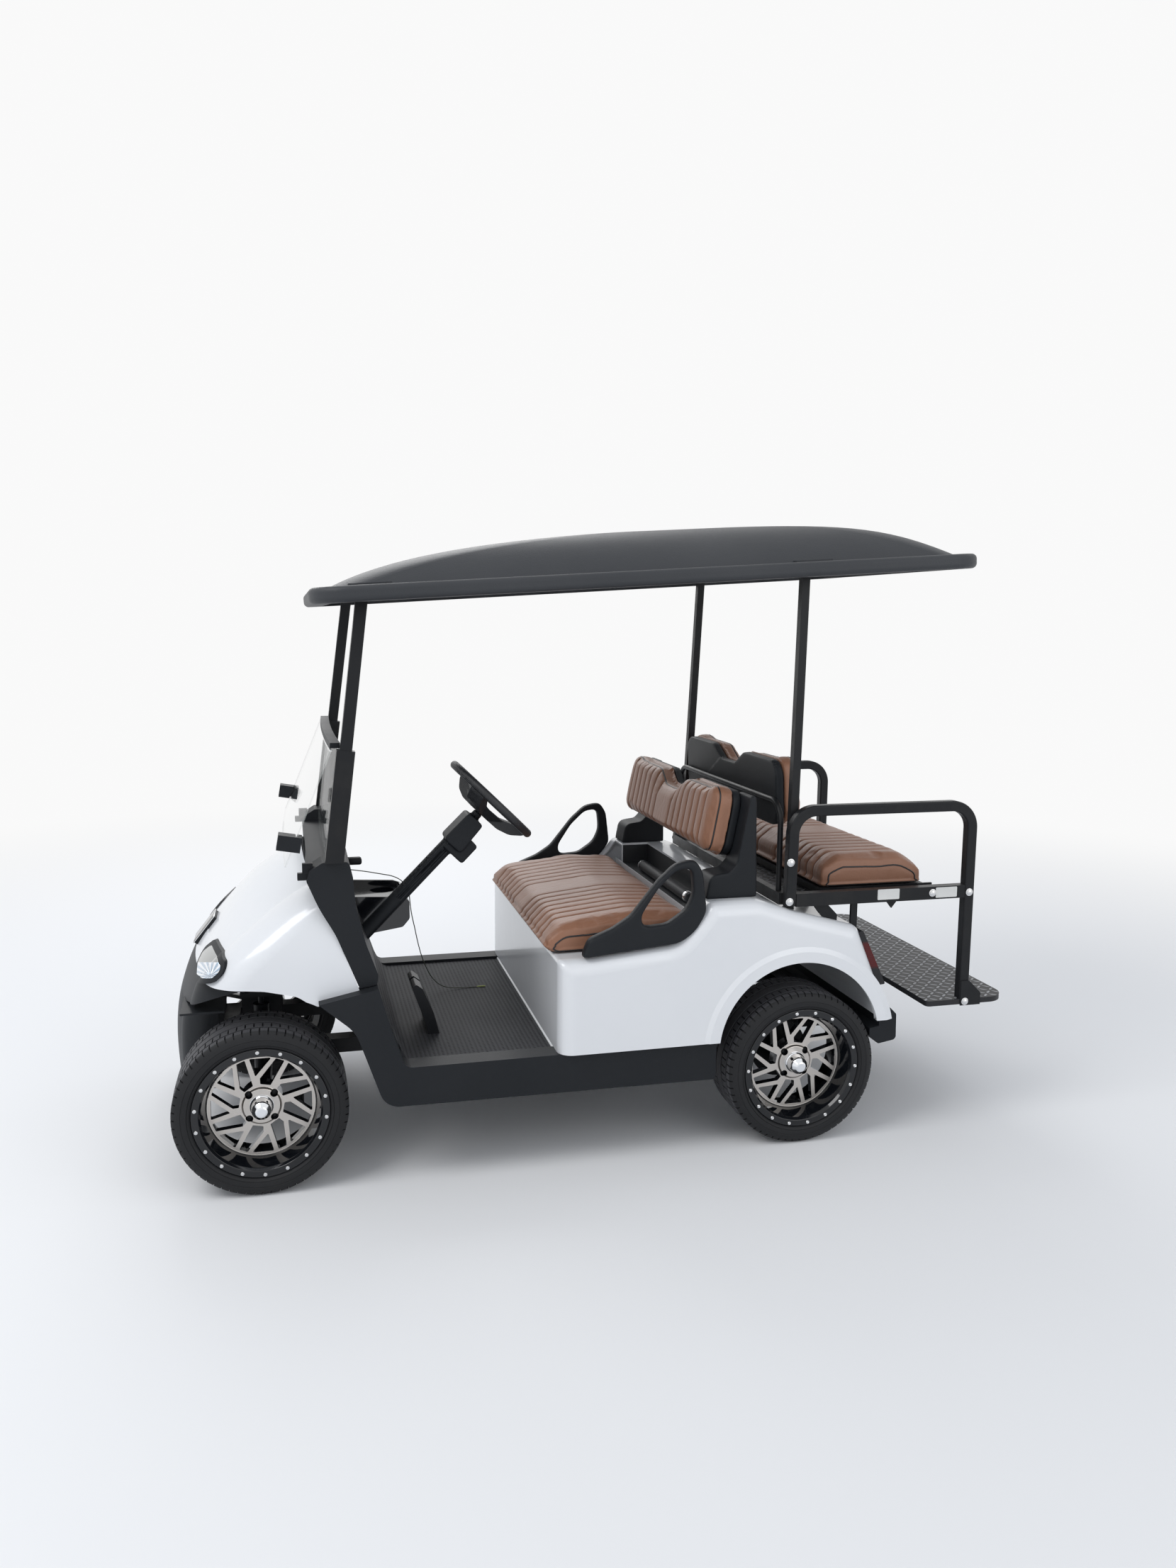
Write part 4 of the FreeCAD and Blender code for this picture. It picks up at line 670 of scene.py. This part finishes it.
def softened(name, node, cell, rounds):
    """Remeshes a merged copy of a CAD node and smooths it, which rounds its edges as moulding does."""
    piece = copied(name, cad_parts[node].data)
    bpy.ops.mesh.remove_doubles(threshold=0.00005)
    bpy.ops.mesh.normals_make_consistent(inside=False)
    bpy.ops.object.mode_set(mode="OBJECT")
    piece.data.remesh_voxel_size = cell
    bpy.ops.object.voxel_remesh()
    bpy.ops.object.mode_set(mode="EDIT")
    bpy.ops.mesh.select_all(action="SELECT")
    bpy.ops.mesh.vertices_smooth(factor=0.5, repeat=rounds)
    bpy.ops.object.mode_set(mode="OBJECT")
    return piece


def pad(name, node, body, under, piping, end_round=0.0):
    """Swells a copy of a CAD cushion as cloth under pressure, then sews its seams in.

    under points to the side that lies on the shell or base, and piping lists its planes, each a point
    and the way that it faces. end_round is the radius of the cushion's ends.
    """
    pillow = softened(name, node, cell=0.008, rounds=6)
    low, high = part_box(node)
    half = high[1] - 0.001
    middle = (low[0] + high[0]) / 2
    for vertex in pillow.data.vertices:
        into = min(max((abs(vertex.co.y) - (half - end_round)) / end_round, 0), 1) if end_round else 0
        drop = end_round * (1 - math.sqrt(1 - into * into))
        vertex.co.x = middle + (vertex.co.x - middle) * (1 - drop / ((high[0] - low[0]) / 2))
        vertex.co.z = low[2] + (vertex.co.z - low[2]) * (1 - drop / (high[2] - low[2]))
    bpy.ops.object.mode_set(mode="EDIT")
    bpy.ops.mesh.select_all(action="SELECT")
    bpy.ops.mesh.vertices_smooth(factor=0.5, repeat=1)
    bpy.ops.transform.shrink_fatten(value=-0.0015)
    bpy.ops.object.mode_set(mode="OBJECT")
    under = Vector(under).normalized()
    rest = [(vertex.co.copy(), vertex.normal.copy()) for vertex in pillow.data.vertices]
    swell = pillow.modifiers.new("swell", "CLOTH")
    swell.settings.use_pressure = True
    swell.settings.uniform_pressure_force = 4
    swell.settings.effector_weights.gravity = 0
    for step in range(1, cloth_frames + 1):
        bpy.context.scene.frame_set(step)
    bpy.ops.object.modifier_apply(modifier="swell")
    bpy.context.scene.frame_set(1)
    for vertex, (before, facing) in zip(pillow.data.vertices, rest):
        limit = end_swell if abs(facing.y) > 0.6 else most_swell
        if facing.dot(under) > 0.25:
            limit = 0.0
        change = vertex.co - before
        if change.length > limit:
            change = change * (limit / change.length)
        vertex.co = before + change
    round_off = pillow.modifiers.new("round_off", "SUBSURF")
    round_off.levels = 1
    round_off.render_levels = 1
    bpy.ops.object.modifier_apply(modifier="round_off")
    bpy.ops.object.mode_set(mode="EDIT")
    lines = [side * (first_seam + seam_pitch * number) for side in (-1, 1) for number in range(seams_a_side)]
    for line in lines:
        bpy.ops.mesh.select_all(action="SELECT")
        bpy.ops.mesh.bisect(plane_co=(0, line, 0), plane_no=(0, 1, 0))
    bpy.ops.object.mode_set(mode="OBJECT")
    moves = []
    for vertex in pillow.data.vertices:
        depth = 0.0
        if vertex.normal.dot(under) < 0.25:
            near = min(abs(vertex.co.y - line) for line in lines)
            depth = seam_depth * math.exp(-near / seam_width) + 0.0008 * math.exp(-((near / 0.02) ** 2))
        for point, facing in piping:
            ahead = (vertex.co - Vector(point)).dot(Vector(facing).normalized())
            at_an_end = facing[1] != 0
            if at_an_end or ahead > 0:
                depth *= 1 - math.exp(-((ahead / 0.009) ** 2))
            else:
                depth = 0.0
            depth += 0.0022 * math.exp(-((ahead / 0.004) ** 2))
        moves.append(vertex.normal * -depth)
    for vertex, move in zip(pillow.data.vertices, moves):
        vertex.co += move
    pillow.data.update()
    settle(pillow, vinyl, body, 60)
    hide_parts(node)
    for number, (point, facing) in enumerate(piping):
        bead = copied(f"{name}_piping_{number + 1}", pillow.data)
        bpy.ops.mesh.bisect(plane_co=point, plane_no=facing, clear_inner=True, clear_outer=True)
        bpy.ops.mesh.select_all(action="SELECT")
        bpy.ops.mesh.remove_doubles(threshold=0.003)
        bpy.ops.mesh.delete(type="ONLY_FACE")
        bpy.ops.object.mode_set(mode="OBJECT")
        bpy.ops.object.convert(target="CURVE")
        bead.data.bevel_depth = piping_radius
        bead.data.bevel_resolution = 2
        bpy.ops.object.convert(target="MESH")
        settle(bead, piping_black, body, 60)


seats = (("front", 0.4915, front_lean, front_piping), ("rear", 0.4695, rear_lean, rear_piping))
for seat, end, lean, point in seats:
    ends = [((0, end, 0), (0, 1, 0)), ((0, -end, 0), (0, 1, 0))]
    pad(f"{seat}_seat_pad", f"{seat}_cushion", f"{seat}_seat", (0, 0, -1), ends, end_round=0.028)
    ahead = (math.cos(lean), 0, math.sin(lean))
    pad(f"{seat}_back_pad", f"{seat}_backrest", "chassis", -Vector(ahead), [(point, ahead)])


# Mouldings that carry the seats, and the cowl of the steering column: injection-moulded black plastic
# with rounded edges. The flat hip restraints are smoothed more, but only within their own plane.
for node, cell, flat_rounds in (("front_backrest_shell", 0.005, 0), ("rear_backrest_shell", 0.005, 0),
                                ("seat_towers", 0.005, 0), ("hip_restraint_left", 0.004, 30),
                                ("hip_restraint_right", 0.004, 30), ("steering_column", 0.0035, 0)):
    moulding = softened(f"{node}_moulding", node, cell, 5)
    if flat_rounds:
        bpy.ops.object.mode_set(mode="EDIT")
        bpy.ops.mesh.vertices_smooth(factor=0.5, repeat=flat_rounds, yaxis=False)
        bpy.ops.object.mode_set(mode="OBJECT")
    settle(moulding, moulded_black, smooth=60)
    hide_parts(node)


# Roll tube: a rubber-covered steel tube that lies across the white trough behind the seat. A bare cap
# closes it at each end.
tube_cap = [(0.0, 0.0062), (0.0150, 0.0062), (0.0185, 0.0040), (0.0192, 0.0), (0.0192, -0.006)]
coat(moulded_black, "roll_tube")
for side, hand in ((-1, "right"), (1, "left")):
    place = (rear_axle + 0.282, side * 0.2585, 0.7503)
    end = turned(f"roll_tube_end_{hand}", tube_cap, place, (0, side, 0), 28)
    settle(end, zinc)


# Rear kit: square steel tube, bent for the grab rails and bolted to the seat frame with zinc bolts.
# Two bare plates are glued to the left rail, and diamond plate covers the deck and the footplate.
bolt_section = [(0.01265, -0.0002), (0.01265, 0.0016), (0.01012, 0.0020), (0.0099, 0.0046), (0.00682, 0.0074),
                (0.0, 0.0084)]


def bolt(name, place, side):
    """A round-headed bolt on its washer, with its head to one side of the cart."""
    made = turned(name, bolt_section, place, (0, side, 0), 18)
    return settle(made, zinc)


rail_bolts = ((-0.542, 0.563, 0.919), (-0.542, 0.563, 0.793), (-1.045, 0.562, 0.797), (-1.179, 0.563, 0.793))
for number, place in enumerate(rail_bolts):
    fixed = bolt(f"rail_bolt_left_{number + 1}", place, 1)
    again(fixed, f"rail_bolt_right_{number + 1}", across=True)


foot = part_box("footplate")[1][2] - 0.022
rail_face = 0.5635
gusset_outline = ((-1.166, 0.492), (-1.196, 0.492), (-1.240, 0.448), (-1.240, foot), (-1.166, foot))
for side, hand in ((-1, "right"), (1, "left")):
    gusset = draw(f"rail_gusset_{hand}", [(x, side * rail_face, z) for x, z in gusset_outline])
    thicken(side * 0.0035)
    settle(gusset, black_steel)
    bolt(f"rail_foot_bolt_{hand}", (-1.182, side * 0.5668, foot + 0.014), side)


def bare_plate(wire):
    brushed = wire.noise(60, 3, 0.5, (1.0, 1.0, 30.0))
    return {"Base Color": wire.blend(brushed, rgb(0.62, 0.62, 0.60), rgb(0.72, 0.72, 0.70)),
            "Roughness": brushed * 0.2 + 0.3}


plate_white = finish("bare_plate", bare_plate)
plate_length = 0.077
plate_height = 0.034
for number, (x, z) in enumerate(((-0.8865, 0.8003), (-1.095, 0.7970))):
    plate = begin(f"bare_plate_{number + 1}", "cube", size=1, location=(x, 0.5628, z),
                  scale=(plate_length, 0.0014, plate_height))
    choose(plate, "EDGE", lambda middle: abs(abs(middle.x - x) - plate_length / 2) < 0.001
           and abs(abs(middle.z - z) - plate_height / 2) < 0.001)
    bpy.ops.mesh.bevel(offset=0.003, segments=3, affect="EDGES")
    choose(plate, "FACE", lambda middle: middle.y > 0.5633)
    bpy.ops.mesh.inset(thickness=0.0016)
    bpy.ops.transform.translate(value=(0, -0.0004, 0))
    settle(plate, plate_white)


def tread_plate(wire):
    """Raised bars in a basket pattern, one in each square of the pitch, leaning left and right by turns."""
    pitch = 0.028
    half_long = 0.56
    half_short = 0.17
    diagonal = 0.7071
    across = wire.axis("X") / pitch
    along = wire.axis("Y") / pitch
    turn = (across.math("FLOOR") + along.math("FLOOR")).math("FLOORED_MODULO", 2.0) * 2.0 - 1
    x = across.math("FRACT") - 0.5
    y = (along.math("FRACT") - 0.5) * turn
    long = (x + y) * (diagonal / half_long)
    short = (x - y) * (diagonal / half_short)
    bar = (1 - (long * long + short * short).between(0.5, 1.0)) * (wire.facing("Z") > 0.9)
    dust = wire.noise(8, 5, 0.6)
    painted = wire.blend(dust, rgb(0.010, 0.011, 0.014), rgb(0.028, 0.028, 0.030))
    return {"Base Color": wire.blend(bar * 0.8, painted, rgb(0.34, 0.35, 0.37)),
            "Roughness": 0.45 - bar * 0.2, "Normal": wire.bump(bar, 0.0022)}


coat(finish("tread_plate", tread_plate, Specular_IOR_Level=0.3), "rear_deck", "footplate")


# Steering wheel: a soft black grip moulded over a steel ring and three broad spokes, fixed by a nut on
# the end of the column's shaft.
def soft_grip(wire):
    return {"Base Color": wire.blend(wire.noise(20, 4), rgb(0.012, 0.013, 0.015), rgb(0.022, 0.023, 0.026)),
            "Roughness": wire.noise(90) * 0.15 + 0.4, "Normal": wire.bump(wire.cells(360), 0.0003)}


coat(finish("soft_grip", soft_grip), "steering_wheel")


# Thin cord: a charging lead with a small green plug. It leaves the dash, crosses the tray's edge, hangs
# free from there and lies on the mat.
def cord_skin(wire):
    return {"Base Color": wire.blend(wire.noise(90), rgb(0.035, 0.04, 0.03), rgb(0.07, 0.08, 0.055)),
            "Roughness": wire.noise(200) * 0.2 + 0.4}


def plug_skin(wire):
    return {"Base Color": wire.blend(wire.noise(90), rgb(0.30, 0.36, 0.10), rgb(0.45, 0.50, 0.18)),
            "Roughness": wire.noise(200) * 0.2 + 0.35}


route = [(0.796, 0.124, 0.865), (0.746, 0.112, 0.855), (0.692, 0.098, 0.840), (0.652, 0.090, 0.830),
         (0.620, 0.084, 0.810), (0.599, 0.074, 0.770), (0.595, 0.060, 0.725), (0.588, 0.042, 0.680),
         (0.577, 0.018, 0.635), (0.564, -0.020, 0.575), (0.547, -0.062, 0.510), (0.525, -0.104, 0.450),
         (0.499, -0.138, 0.398), (0.464, -0.152, 0.364), (0.414, -0.156, 0.3525), (0.338, -0.160, 0.3519)]
cord_diameter = 0.0032
line = bpy.data.curves.new("charging_lead", "CURVE")
line.dimensions = "3D"
spline = line.splines.new("NURBS")
spline.points.add(len(route) - 1)
for point, place in zip(spline.points, route):
    point.co = (*place, 1)
spline.order_u = 3
spline.use_endpoint_u = True
spline.resolution_u = 16
line.bevel_depth = cord_diameter / 2
line.bevel_resolution = 3
line.use_fill_caps = True
lead = bpy.data.objects.new("charging_lead", line)
bpy.context.scene.collection.objects.link(lead)
line.materials.append(finish("cord_skin", cord_skin))
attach(lead, "chassis")
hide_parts("thin_cord")
plug_section = [(0.0, -0.0005), (0.0017, -0.0005), (0.0019, 0.004), (0.0024, 0.0045), (0.0024, 0.0065),
                (0.0021, 0.007), (0.0021, 0.0085), (0.0026, 0.009), (0.0026, 0.026), (0.0020, 0.0285),
                (0.0020, 0.0300), (0.0, 0.0300)]
plug = turned("charging_plug", plug_section, (0.3377, -0.160, 0.3530), (-1, 0, 0.0), 20)
settle(plug, finish("plug_skin", plug_skin))
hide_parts("cord_plug")


# Studio: a pale floor that fades into a white surround. Three soft lamps light the cart from above:
# one from ahead at its left, one from behind at its left and one from its right.
def in_view(wire):
    """1 on the rays that show the surroundings: from the camera, mirrored in metal or through a pane."""
    rays = [wire.node("LightPath", output=number) for number in (0, 3, 6)]
    return (rays[0] + rays[1] + rays[2]).math("MINIMUM", 1.0)


bpy.ops.object.select_all(action="DESELECT")
bpy.ops.mesh.primitive_plane_add(size=120, location=(0, 0, 0))
floor = bpy.context.object
floor.name = "studio_floor"
surround = rgb(0.95, 0.95, 0.95)
ground = finish("studio", lambda wire: {"Roughness": wire.noise(1) * 0.1 + 0.85},
                Base_Color=rgb(0.86, 0.86, 0.86))
floor.data.materials.append(ground)
tree = ground.node_tree
wire = Wire(tree)
distance = wire.node("VectorMath", {"operation": "LENGTH"}, {0: wire.place()}, 1)
fade = distance.between(2.2, 7.0) * in_view(wire)
white = wire.node("Emission", {}, {"Color": surround})
paper = Wire(tree, tree.nodes["Principled BSDF"].outputs[0])
mixed = wire.node("MixShader", {}, {0: fade, 1: paper, 2: white})
tree.links.new(mixed.socket, tree.nodes["Material Output"].inputs[0])
world = bpy.data.worlds.new("studio_world")
world.use_nodes = True
sky = Wire(world.node_tree)
pale = sky.blend(in_view(sky), rgb(0.60, 0.63, 0.68), surround)
world.node_tree.links.new(pale.socket, world.node_tree.nodes["Background"].inputs["Color"])
bpy.context.scene.world = world
aim = Vector((0, 0, 0.8))
for name, place, power, size in (("key", (4.0, 2.0, 5.5), 150, 3.0), ("fill", (-3.0, 5.0, 3.0), 50, 4.0),
                                 ("far", (0.5, -5.0, 4.5), 110, 4.0)):
    bpy.ops.object.light_add(type="AREA", location=place)
    lamp = bpy.context.object
    lamp.name = name
    lamp.data.energy = power
    lamp.data.size = size
    lamp.rotation_euler = (aim - Vector(place)).to_track_quat("-Z", "Y").to_euler()


# Camera: 3.9 m to the left of the cart's middle line and 1.67 m above the ground, turned a little to
# the back and tipped down. Its lens is 1639.5 pixels long on a picture 1659 pixels wide.
yaw = math.radians(-14.441)
pitch = math.radians(8.048)
roll = math.radians(0.501)
ahead = Vector((math.sin(yaw) * math.cos(pitch), -math.cos(yaw) * math.cos(pitch), -math.sin(pitch)))
level = Vector((-math.cos(yaw), -math.sin(yaw), 0))
upright = level.cross(ahead)
right = level * math.cos(roll) + upright * math.sin(roll)
up = upright * math.cos(roll) - level * math.sin(roll)
place = Vector((0.9661, 3.8625, 1.6675))
lens_in_pixels = 1639.5
picture_width = 1659
lens = bpy.data.cameras.new("camera")
lens.sensor_fit = "HORIZONTAL"
lens.sensor_width = 36
lens.lens = lens_in_pixels / picture_width * lens.sensor_width
camera = bpy.data.objects.new("camera", lens)
camera.matrix_world = Matrix(((right.x, up.x, -ahead.x, place.x), (right.y, up.y, -ahead.y, place.y),
                              (right.z, up.z, -ahead.z, place.z), (0, 0, 0, 1)))
bpy.context.scene.collection.objects.link(camera)
bpy.context.scene.camera = camera
bpy.context.scene.view_settings.view_transform = "Standard"
